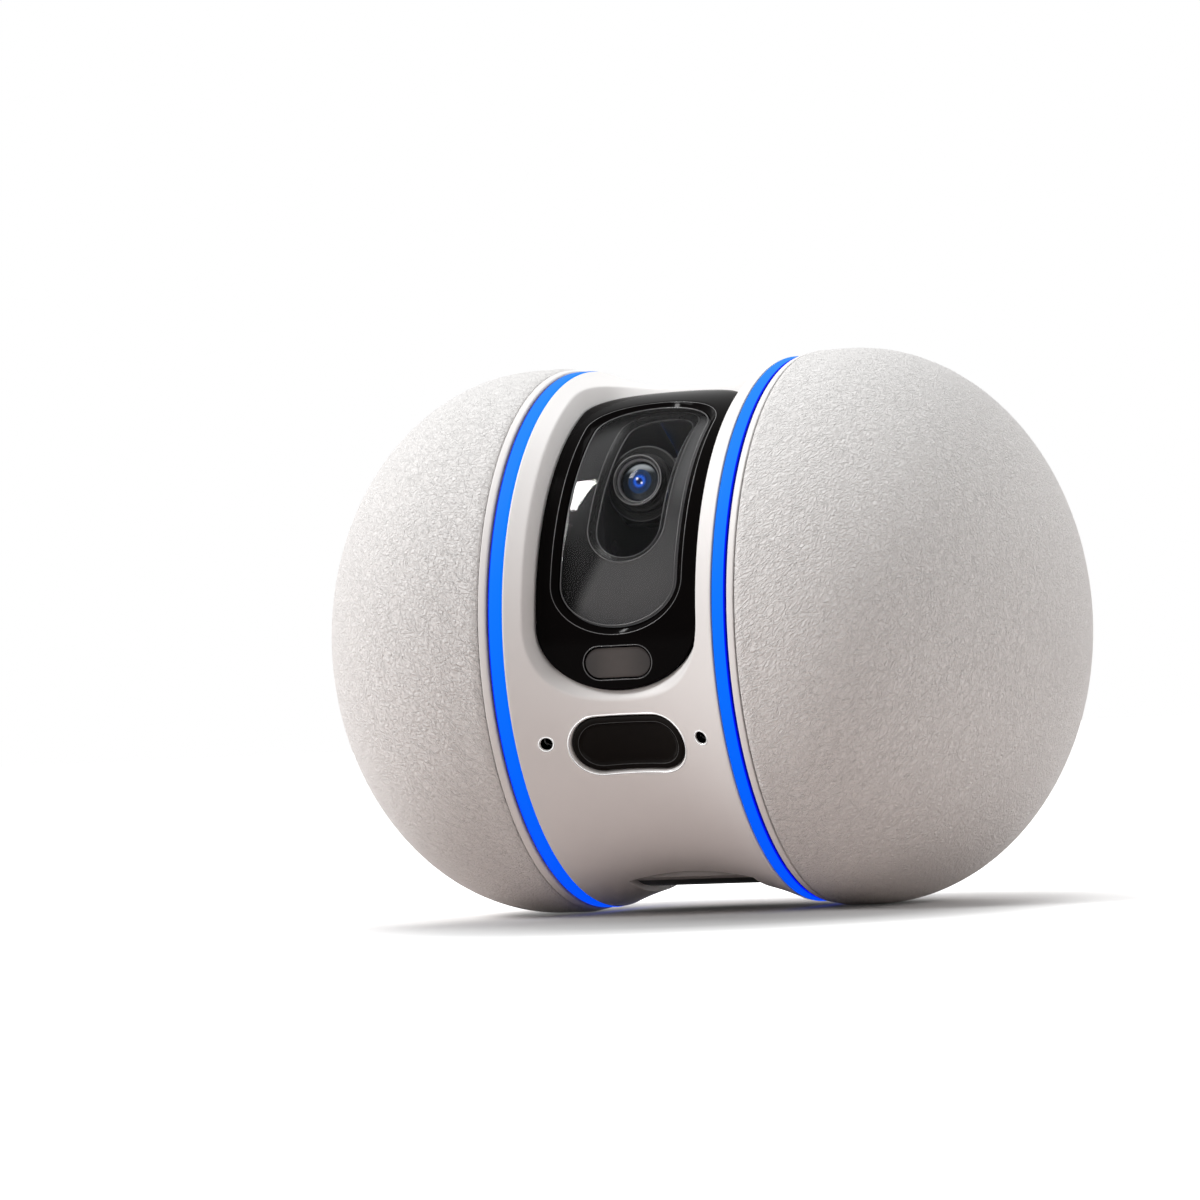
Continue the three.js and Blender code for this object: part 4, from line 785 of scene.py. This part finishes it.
def build_night(night_finish):
    """The night light's pill, a shallow plate with a rounded edge just under the panel."""
    rows = [(0.0, 0.5), (-0.02, 0.2), (-0.12, 0.05), (-0.35, 0.0)]
    night = plate("night_light_pill", NIGHT_PILL, rows, level(FASCIA - 0.2), 1.5, False, 160)
    fitted(night, "body", "night_window", night_finish, "night_light_window")


def build_mask(dark, trim):
    """The mask behind the pane, a ring of rows in to its slot, and the slot's stepped trim."""
    share = np.arange(240) / 240
    x, v = run_in(SLOT.at(share, 1.9), MASK_EDGE.at(share), np.linspace(1, 0, 8))
    mask = wall_of("mask_plate", x, v, MASK + 0 * x, MASK - MASK_WALL)
    fitted(mask, "body", "black_plastic", dark, "camera_mask")
    rows = [
        (1.85, 0.3), (1.85, 0.05), (1.75, -0.05), (1.6, -0.05),
        (1.45, 0.0), (0.2, 1.1), (0.05, 1.25), (0.0, 1.4),
    ]
    x, v, depth = rows_of(SLOT, share, rows)
    ring = wall_of("slot_trim", x, v, MASK - depth, MASK - MASK_WALL)
    fitted(ring, "body", "black_plastic", trim)


def build_sensor(gloss, hole_shade, faint, lip):
    """The recessed sensor window, a dish with a rounded step at its edge; its bright lip and the faint line
    of the step; and the lips and dark sleeves of the microphone holes. The lips are a painted highlight on
    the holes' rounded edges, the faint line a painted highlight on the step, and the sleeves a painted shade
    inside the holes."""
    rows = [
        (-0.3, 1.0), (-0.32, 0.75), (-0.42, 0.6), (-0.7, 0.5), (-1.7, 0.5),
        (-1.9, 0.56), (-2.1, 0.75), (-2.25, 0.92), (-2.6, 1.0),
    ]
    window = plate("sensor_pill", SENSOR_PILL, rows, under(0.0), 3.2, False, 220)
    fitted(window, "body", "sensor_window", gloss, "front_sensor_window")
    # Painted highlight: a faint grey line on the dish's step.
    fitted(bead("sensor_edge", SENSOR_PILL, -1.75, 0.16, under(0.52), 0.04), "body", "sensor_window", faint)
    # Painted highlight: the lip is a brighter, partly metallic white than the body, on the hole's rounded
    # edge.
    fitted(bead("sensor_lip", SENSOR_PILL, 0.36, 0.42, under(0.02), 0.10), "body", "white_shell", lip)
    for name, hole in MIC_HOLES:
        # Painted highlight: each microphone hole's lip in the same bright white.
        rim = bead(f"{name}_hole_lip", hole, 0.26, 0.40, under(0.03), 0.10, 48)
        fitted(rim, "body", "white_shell", lip)
        # Painted shade: a near-black sleeve inside each hole, and the microphone in the same black.
        sleeve = bead(f"{name}_hole_sleeve", hole, -0.11, 0.22, under(0.40), 0.04, 48, 1.8)
        fitted(sleeve, "body", "black_plastic", hole_shade)
        paint(cad[f"{name}_microphone"], hole_shade)


# Lens

def facing(turn, pivot):
    """Carries points from the origin to a pivot, turned about the axle's direction so that their first axis
    looks to the front, a turn away from straight up."""

    def place(points):
        along, side, height = points.T
        y = height * math.cos(turn) - along * math.sin(turn)
        z = height * math.sin(turn) + along * math.cos(turn)
        return np.stack([side, y, z], -1) + pivot

    return place


def build_lens(barrel_finish, core, pod_finish, ring_highlight, pod_edge_highlight):
    """The barrel with a stepped throat, its two grey rings, its domed element, the collar behind it, and the
    pod's round face with a fine line round it; the grey rings and the line are painted highlights on those
    edges. Each is a profile of (along, radius) turned about the lens."""
    radius = np.linspace(0, LENS_RADIUS, 28)
    dome = np.stack([10.35 + 0.9 * (1 - (radius / LENS_RADIUS) ** 2), radius], -1)
    element = np.vstack([dome, [(9.6, LENS_RADIUS), (8.3, LENS_RADIUS), (8.3, 0.0)]])
    barrel = eased([
        (8.3, 4.75), (8.3, 6.1), (12.1, 6.1), (12.4, 5.85), (12.4, 5.5),
        (12.0, 5.25), (11.75, 5.2), (11.75, 5.0), (11.2, 4.75), (8.35, 4.72),
    ], [0.05, 0.3, 0.12, 0.12, 0.15, 0.1, 0.05, 0.05, 0.1, 0.05])
    rim = eased([(12.25, 5.72), (12.25, 6.02), (12.50, 6.0), (12.50, 5.80)], 0.05)
    ring = eased([(11.0, 4.72), (11.0, 5.18), (11.9, 5.18), (11.9, 5.02), (11.5, 4.85)], 0.06)
    collar = eased([(8.3, 5.0), (8.3, 7.1), (9.3, 7.0), (9.6, 6.5), (9.6, 5.0)], 0.25)
    face = eased([
        (7.75, 0.0), (7.75, 9.0), (8.15, 9.2), (8.45, 8.8), (8.25, 7.4), (8.25, 0.0),
    ], [0, 0.1, 0.15, 0.2, 0.3, 0])
    edge = eased([(8.35, 8.72), (8.35, 9.02), (8.58, 8.95), (8.60, 8.78)], 0.05)
    on_lens = facing(LENS_TURN, LENS_PIVOT)
    for name, profile, closed, slot, finish, *stands_for in (
        ("barrel", barrel, True, "black_plastic", barrel_finish, "lens_barrel"),
        ("rim_line", rim, True, "black_plastic", ring_highlight),
        ("throat_ring", ring, True, "black_plastic", ring_highlight),
        ("lens_element", element, False, "lens_glass", core, "lens_glass"),
        ("neck_collar", collar, True, "black_plastic", pod_finish),
        ("pod_face", face, False, "black_plastic", pod_finish),
        ("pod_edge", edge, True, "black_plastic", pod_edge_highlight),
    ):
        fitted(turned(name, profile, 128, closed, on_lens), "camera", slot, finish, *stands_for)


# Rings and wheels

def dome_arc(turn, sink=0.0):
    """A quarter ellipse from the tread out to the axle, so far inside the wheel's dome."""
    return np.stack([TREAD_END + (DOME - sink) * np.sin(turn), (WHEEL - sink) * np.cos(turn)], -1)


def build_sides(light, rim_finish, skin_finish):
    """At both ends the stepped light ring, the rim's band, and the domed skin with its tread, all turned.
    The profiles are those of the right side, and are mirrored for the left one."""
    ring = eased([
        (27.2, 56.0), (27.2, 61.0), (25.9, 61.0), (25.9, EDGE), (29.0, EDGE), (29.0, 56.0),
    ], [0.1, 0.1, 0.2, 0.35, 0.35, 0.1])
    rim = eased([(29.5, 58.4), (29.5, 64.25), (31.2, 64.6), (31.2, 58.4)], [0.1, 0.45, 0.25, 0.1])
    dome = np.linspace(0, np.pi / 2, 90)
    outer, inner = dome_arc(dome), dome_arc(dome[::-6], 1.6)
    outer[-1, 1] = inner[0, 1] = 0.0
    tread = [(31.5, 63.4), (31.5, 64.5), (32.9, WHEEL), (TREAD_END - 0.1, WHEEL)]
    skin = np.vstack([inner, eased(tread, [0.0, 0.4, 0.6, 0.0]), outer])
    for name, side in (("left", -1), ("right", 1)):
        for part, profile, steps, closed, body, slot, finish, node in (
            ("glow_ring", ring, 224, True, "body", "light_guide", light, "light_ring"),
            ("rim_band", rim, 224, True, f"{name}_wheel", "white_rim", rim_finish, "wheel_rim"),
            ("grained_dome", skin, 256, False, f"{name}_wheel", "white_skin", skin_finish, "wheel_skin"),
        ):
            piece = turned(f"{name}_{part}", profile * [side, 1], steps, closed)
            fitted(piece, body, slot, finish, f"{name}_{node}")


# Back and underside

def build_back(button_finish, socket_finish, plate_finish):
    """The button with a flange and a dished face, the socket's sleeve, and the plate under the body."""
    top, foot, flange = WAIST + 0.9, WAIST - 4.7, WAIST - 3.2
    skirt = [(foot, 7.0), (flange, 7.0), (flange, 5.7), (top, 5.7), (top - 0.25, 4.2)]
    profile = np.vstack([
        [(foot, 0.0)],
        eased(skirt, [0.1, 0.1, 0.1, 0.6, 0.4]),
        [(top - 0.4, 2.0), (top - 0.42, 0.0)],
    ])
    place = facing(math.radians(90.0 - BUTTON_ANGLE), np.array([0.0, 0.0, AXLE_HEIGHT]))
    key = turned("power_key", profile, 96, False, place)
    fitted(key, "button", "grey_plastic", button_finish, "power_button")
    fitted(cad_copy("socket_sleeve", "charging_socket"), "body", "steel", socket_finish, "charging_socket")
    fitted(cad_copy("foot_plate", "underside_plate"), "body", "black_panel", plate_finish, "underside_plate")


def cad_copy(name, node):
    """A copy of a solid with its corners merged and its sharp edges rounded a little."""
    mesh = cad[node].data.copy()
    form = bmesh.new()
    form.from_mesh(mesh)
    bmesh.ops.remove_doubles(form, verts=form.verts, dist=1e-6)
    bmesh.ops.dissolve_limit(form, angle_limit=math.radians(1.0), verts=form.verts, edges=form.edges)
    form.to_mesh(mesh)
    form.free()
    mesh.name = name
    piece = placed(name, mesh)
    bevel = piece.modifiers.new("rounded_edges", "BEVEL")
    bevel.width, bevel.segments = 0.15 * METRE, 2
    bevel.limit_method, bevel.angle_limit = "ANGLE", math.radians(40)
    return piece


# All finishes

def white_plastic(name="satin_white", colour=(0.885, 0.87, 0.86)):
    """The body's satin white plastic, nearly even."""
    return moulded(name, colour, 0.46, 0.02, 0.05, Specular_IOR_Level=0.30)


def grained_skin():
    """Soft white skin: pebbles and creases on a place that is squeezed along the wheel and warped by noise,
    a finer grain, and a slightly darker colour in the creases."""
    finish = Finish("grained_white", Specular_IOR_Level=0.35)
    x, y, z = (finish.axis(name) for name in "XYZ")
    z = z - AXLE_HEIGHT * METRE
    reach = (y * y + z * z) ** 0.5
    sockets = {"X": abs(x) * 0.42 + z * 0.30 - reach * 0.2, "Y": y, "Z": z * 0.78 - abs(x) * 0.58}
    drawn = finish.node("ShaderNodeCombineXYZ", {}, sockets)
    warp = finish.node("ShaderNodeTexNoise", {}, {"Vector": drawn, "Scale": 500.0, "Detail": 2.0}, "Color")
    place = finish.vector("ADD", {0: drawn, 1: finish.vector("SCALE", {0: warp, "Scale": 0.0016})})
    pebbles = finish.cells(1850.0, "SMOOTH_F1", place)
    creases = abs(finish.noise(1450.0, 2.0, 0.5, 0.6, place) - 0.5)
    fine = finish.noise(2400.0, 2.0)
    height = pebbles * -0.45 + creases * 1.6 + fine * 0.10
    # A slightly darker colour in the creases.
    darker_creases = creases.above(0.03, 0.03)
    clouds = finish.noise(26.0, 3.0)
    pale = finish.blend(clouds, (0.815, 0.80, 0.79), (0.845, 0.835, 0.825))
    finish.coloured(darker_creases, (0.78, 0.765, 0.755), pale)
    finish.feed("Roughness", fine * 0.12 + 0.5)
    finish.bump(height, 1.0, 0.00062)
    return finish


def glow():
    """A lit light guide: azure on top and deeper blue below, a strip of pure blue on the edge towards the
    wheel, and a dim side. Its light on other pieces is a quarter of what is seen."""
    finish = Finish("lit_blue", Roughness=0.6, Specular_IOR_Level=0.03, Emission_Strength=1.0)
    finish.coloured(finish.noise(60.0, 3.0), (0.001, 0.01, 0.06), (0.001, 0.012, 0.07))
    height = finish.axis("Z") / (2 * AXLE_HEIGHT * METRE)
    colour = finish.ramp(height, [
        (0.0, (0.0, 0.075, 0.97)), (0.25, (0.0, 0.125, 0.97)),
        (0.6, (0.003, 0.185, 0.97)), (1.0, (0.018, 0.265, 0.96)),
    ])
    away = abs(finish.axis("X"))
    edge = finish.blend(away.above(0.02897, 0.00002), (0.0, 0.0, 0.95), (0.0, 0.0, 0.22))
    lit = finish.blend(away.above(0.02868, 0.00006), colour, edge)
    finish.feed("Emission Color", finish.blend(finish.seen() * 0.75 + 0.25, (0.0, 0.0, 0.0), lit))
    return finish


def black_gloss(name, colour, roughness, specular):
    """Polished black with a faint haze, or with a colour that it gets later. Its gloss is low, because the
    studio round it is white."""
    finish = Finish(name, Specular_IOR_Level=specular)
    haze_and_flare = finish.noise(90.0, 4.0)
    if colour:
        finish.coloured(haze_and_flare, colour, tuple(1.4 * c for c in colour))
    finish.feed("Roughness", haze_and_flare * 0.03 + roughness)
    finish.bump(finish.noise(500.0, 2.0), 0.02, 0.00005)
    return finish


def night_grey():
    """Smoky brown-grey, with painted shade that darkens the pill towards its ends, so that its middle is
    lighter.
    """
    finish = black_gloss("night_grey", None, 0.15, 0.2)
    # Painted shade: the pill darkens towards its ends.
    ends = abs(finish.axis("X")).above(0.0046, 0.0040)
    middle = finish.blend(finish.noise(150.0, 3.0), (0.060, 0.050, 0.046), (0.072, 0.060, 0.056))
    finish.coloured(ends, middle, (0.026, 0.021, 0.020))
    return finish


def foot_finish():
    """Grey sides, a painted shade darker than the body's white to match the shaded body beside them, and a
    black underside that just shows along the lower edge.
    """
    finish = white_plastic("foot_black_and_shaded_grey", None)
    # Painted shade: the sides are grey rather than white, to match the shaded body beside them.
    grey = finish.blend(finish.noise(45.0, 4.0), (0.44, 0.42, 0.41), (0.47, 0.45, 0.44))
    sides = finish.axis("Z").above(0.0076, 0.00008)
    finish.coloured(sides, (0.006, 0.005, 0.005), grey)
    return finish


def pane_place(finish, radius):
    """Where a point is in the window: -1 to 1 across the pane, and 0 to 1 up it from the front."""
    across = finish.axis("X") / (PANE_HALF * METRE)
    level = finish.axis("Z") - AXLE_HEIGHT * METRE
    upward = (level / (radius * METRE)).maths("ARCSINE") / math.radians(PANE_TOP)
    return across, upward


def smoked_glass():
    """Smoked clear plastic with a painted flare along its left side: a paler, less clear band for the glow
    round the pane's highlight.
    """
    finish = Finish("smoked", Specular_IOR_Level=0.5, Roughness=0.02)
    across, upward = pane_place(finish, PANE)
    # Painted flare: a paler, less clear band on the left side, for the glow round the pane's highlight.
    haze_and_flare = (1 - across.above(-0.78, 0.36)) * upward.above(0.36, 0.12) * (1 - upward.above(0.82, 0.16))
    finish.coloured(haze_and_flare, (0.004, 0.004, 0.0045), (0.12, 0.12, 0.125))
    finish.feed("Alpha", haze_and_flare * 0.20 + 0.10)
    return finish


def mask_black():
    """Satin black, with painted reflections: a paler sweep below the slot to the right, a pale strip along
    the right side, and a weaker painted sheen at the top."""
    finish = moulded("mask_black", None, 0.50, grain=0.02, Specular_IOR_Level=0.05)
    across, upward = pane_place(finish, MASK)
    soft = finish.noise(25.0, 3.0) * 0.06
    # Painted reflections: the sweep, the strip and the sheen make the mask paler where the pane in front
    # would reflect light.
    sweep = (across - upward * 2.2 + 0.95 + soft).above(0.0, 0.16) * (1 - upward.above(0.42, 0.30))
    strip = across.above(0.66, 0.20) * upward.above(0.48, 0.18)
    sheen = upward.above(0.60, 0.20) * 0.35
    pale = sweep.maths("MAXIMUM", strip).maths("MAXIMUM", sheen)
    finish.coloured(pale, (0.012, 0.012, 0.0125), (0.125, 0.125, 0.128))
    return finish


def lens_colours_and_painted_glow():
    """Colour by distance from the lens axis: dark glass, a blue disc, a bright blue ring and a dark middle.
    The same rings also glow as a painted glow, with a painted reflection in a pale arc along the glass's top
    and two painted highlights near the middle."""
    finish = Finish("lens_colours_and_painted_glow", Specular_IOR_Level=0.25, Roughness=0.05, Emission_Strength=1.0)
    unit = LENS_RADIUS * METRE
    away = finish.vector("SUBTRACT", {0: finish.place, 1: tuple(LENS_PIVOT * METRE)})
    ahead = (0.0, -math.sin(LENS_TURN), math.cos(LENS_TURN))
    over = (0.0, math.cos(LENS_TURN), math.sin(LENS_TURN))
    radius = finish.vector("LENGTH", {0: finish.vector("CROSS_PRODUCT", {0: away, 1: ahead})}, "Value") / unit
    height = finish.vector("DOT_PRODUCT", {0: away, 1: over}, "Value") / unit
    across = finish.axis("X", away) / unit
    edges = 0.0, 0.14, 0.24, 0.36, 0.41, 0.62, 0.67, 1.0
    glass = finish.ramp(radius, zip(edges, [
        (0.001, 0.003, 0.02), (0.0, 0.01, 0.08), (0.008, 0.09, 0.55), (0.002, 0.03, 0.18),
        (0.003, 0.016, 0.06), (0.005, 0.025, 0.085), (0.006, 0.009, 0.014), (0.008, 0.012, 0.018),
    ]))
    # Painted glow: the lens is no lamp, but its rings are also given as emission.
    light = finish.ramp(radius, zip(edges, [
        (0.0, 0.0, 0.01), (0.0, 0.01, 0.06), (0.004, 0.075, 0.55), (0.001, 0.022, 0.13),
        (0.001, 0.010, 0.045), (0.001, 0.018, 0.065), (0.0, 0.002, 0.004), (0.001, 0.002, 0.004),
    ]))
    # Painted reflection: a pale arc along the top of the glass.
    arc = radius.above(0.66, 0.03) * (1 - radius.above(0.94, 0.05)) * height.above(0.62, 0.22)
    light = finish.blend(arc, light, (0.38, 0.41, 0.43))
    # Painted highlights: two bright white spots near the middle.
    for spot_x, spot_h, size in ((-0.13, 0.14, 0.075), (0.14, -0.10, 0.060)):
        off = ((across - spot_x) ** 2.0 + (height - spot_h) ** 2.0) ** 0.5
        light = finish.blend(1 - off.above(size, 0.02), light, (1.0, 1.0, 1.0))
    finish.feed("Base Color", glass)
    finish.feed("Emission Color", light)
    return finish


def metal(name, colour, roughness):
    """Machined metal with fine streaks in its colour and gloss."""
    finish = Finish(name, Metallic=1.0)
    streaks = finish.noise(300.0, 4.0)
    finish.coloured(streaks, tuple(0.85 * c for c in colour), colour)
    finish.feed("Roughness", streaks * 0.15 + (roughness - 0.07))
    finish.bump(finish.noise(1500.0, 2.0), 0.1, 0.00003)
    return finish


def circuit_board(name, lacquer, over_copper, solder):
    """Solder resist with faint copper runs under it and dots of solder."""
    finish = Finish(name, Roughness=0.45)
    runs = finish.cells(900.0, "DISTANCE_TO_EDGE").above(0.08, 0.03)
    dots = finish.cells(450.0, "F1").above(0.12, 0.03)
    finish.coloured(dots, solder, finish.blend(runs, over_copper, lacquer))
    finish.bump(runs, 0.2, 0.00005)
    return finish


def finish_solids():
    """Gives every solid a finish by its slot in the record, and dark ones to what the slot shows.
    The finishes by slot come back, for the pieces over the solids."""
    slots = {entry["node"]: entry["material_slot"] for entry in frame["record"]["subparts"]}
    grey = moulded("grey_moulded", (0.16, 0.165, 0.175), 0.5)
    black = moulded("black_moulded", (0.012, 0.012, 0.012), 0.45)
    green = (0.012, 0.09, 0.035), (0.03, 0.16, 0.07), (0.55, 0.55, 0.52)
    by_slot = {
        "steel": metal("machined_steel", (0.55, 0.56, 0.58), 0.32),
        "brass": metal("machined_brass", (0.70, 0.50, 0.22), 0.30),
        "gold_contact": metal("gold_plating", (0.83, 0.62, 0.24), 0.22),
        "gear_plastic": moulded("acetal", (0.78, 0.75, 0.66), 0.42),
        "battery_wrap": moulded("battery_sleeve", (0.03, 0.033, 0.036), 0.45, 0.15),
        "circuit_board": circuit_board("circuit_board", *green),
        "white_shell": white_plastic(),
    }
    by_slot.update(dict.fromkeys(("grey_plastic", "white_skin", "white_rim", "light_guide"), grey))
    dark_slots = "black_plastic", "black_panel", "smoked_pane", "night_window", "sensor_window", "lens_glass"
    by_slot.update(dict.fromkeys(dark_slots, black))
    for name, node in cad.items():
        paint(node, by_slot[slots[name]])
    black_lacquer = (0.010, 0.010, 0.011), (0.016, 0.016, 0.017), (0.05, 0.05, 0.05)
    paint(cad["image_sensor_board"], circuit_board("camera_board", *black_lacquer))
    dark_gear = moulded("dark_acetal", (0.012, 0.012, 0.013), 0.42, 0.1, Specular_IOR_Level=0.2)
    for name in ("tilt_gear", "tilt_pinion"):
        paint(cad[name], dark_gear)
    return by_slot


def build_front_pieces():
    """The panel, the pane, the mask and the windows on the front, each with its own finish."""
    # Painted highlight: the grey of the fine lines that stand for light caught on edges.
    line = moulded("edge_highlight_grey", (0.085, 0.085, 0.087), 0.30, 0.1)
    build_fascia(black_gloss("piano_black", (0.0025, 0.002, 0.002), 0.06, 0.012))
    build_pane(smoked_glass(), line)
    # Painted highlights: the grey of the lines round the slot.
    build_slot_lines(moulded("slot_highlight_grey", (0.15, 0.15, 0.153), 0.30, 0.1))
    build_night(night_grey())
    build_mask(mask_black(), moulded("slot_black", (0.004, 0.004, 0.004), 0.28, 0.1, Specular_IOR_Level=0.15))
    window = black_gloss("sensor_black", (0.0055, 0.0040, 0.0032), 0.14, 0.06)
    # Painted shade: near-black without gloss, for the insides of the microphone holes.
    hole_shade = black_gloss("painted_hole_shade", (0.0008, 0.0008, 0.0008), 0.9, 0.0)
    # Painted highlight: the faint grey of the sensor's step line.
    faint = moulded("faint_step_highlight", (0.028, 0.027, 0.027), 0.30, 0.1)
    # Painted highlight: the lips' bright, partly metallic white.
    build_sensor(window, hole_shade, faint, moulded("lip_highlight_white", (0.95, 0.945, 0.94), 0.25, 0.01, Metallic=0.7))
    pod = moulded("pod_black", (0.007, 0.007, 0.007), 0.35, Specular_IOR_Level=0.2)
    # Painted highlight: the grey of the lens's rim and throat rings.
    ring = moulded("ring_highlight_grey", (0.30, 0.30, 0.305), 0.3)
    build_lens(moulded("barrel_black", (0.03, 0.03, 0.031), 0.25), lens_colours_and_painted_glow(), pod, ring, line)


def main():
    """Sets up the studio, finishes the solids, and builds the pieces over them."""
    add_camera()
    add_world(0.36)
    add_floor()
    light_studio()
    by_slot = finish_solids()
    white = by_slot["white_shell"]
    build_front(white)
    build_rear(white)
    build_front_pieces()
    build_sides(glow(), white, grained_skin())
    build_back(moulded("key_grey", (0.62, 0.61, 0.60), 0.4), by_slot["steel"], foot_finish())


main()
bpy.context.scene.view_settings.view_transform = "Standard"
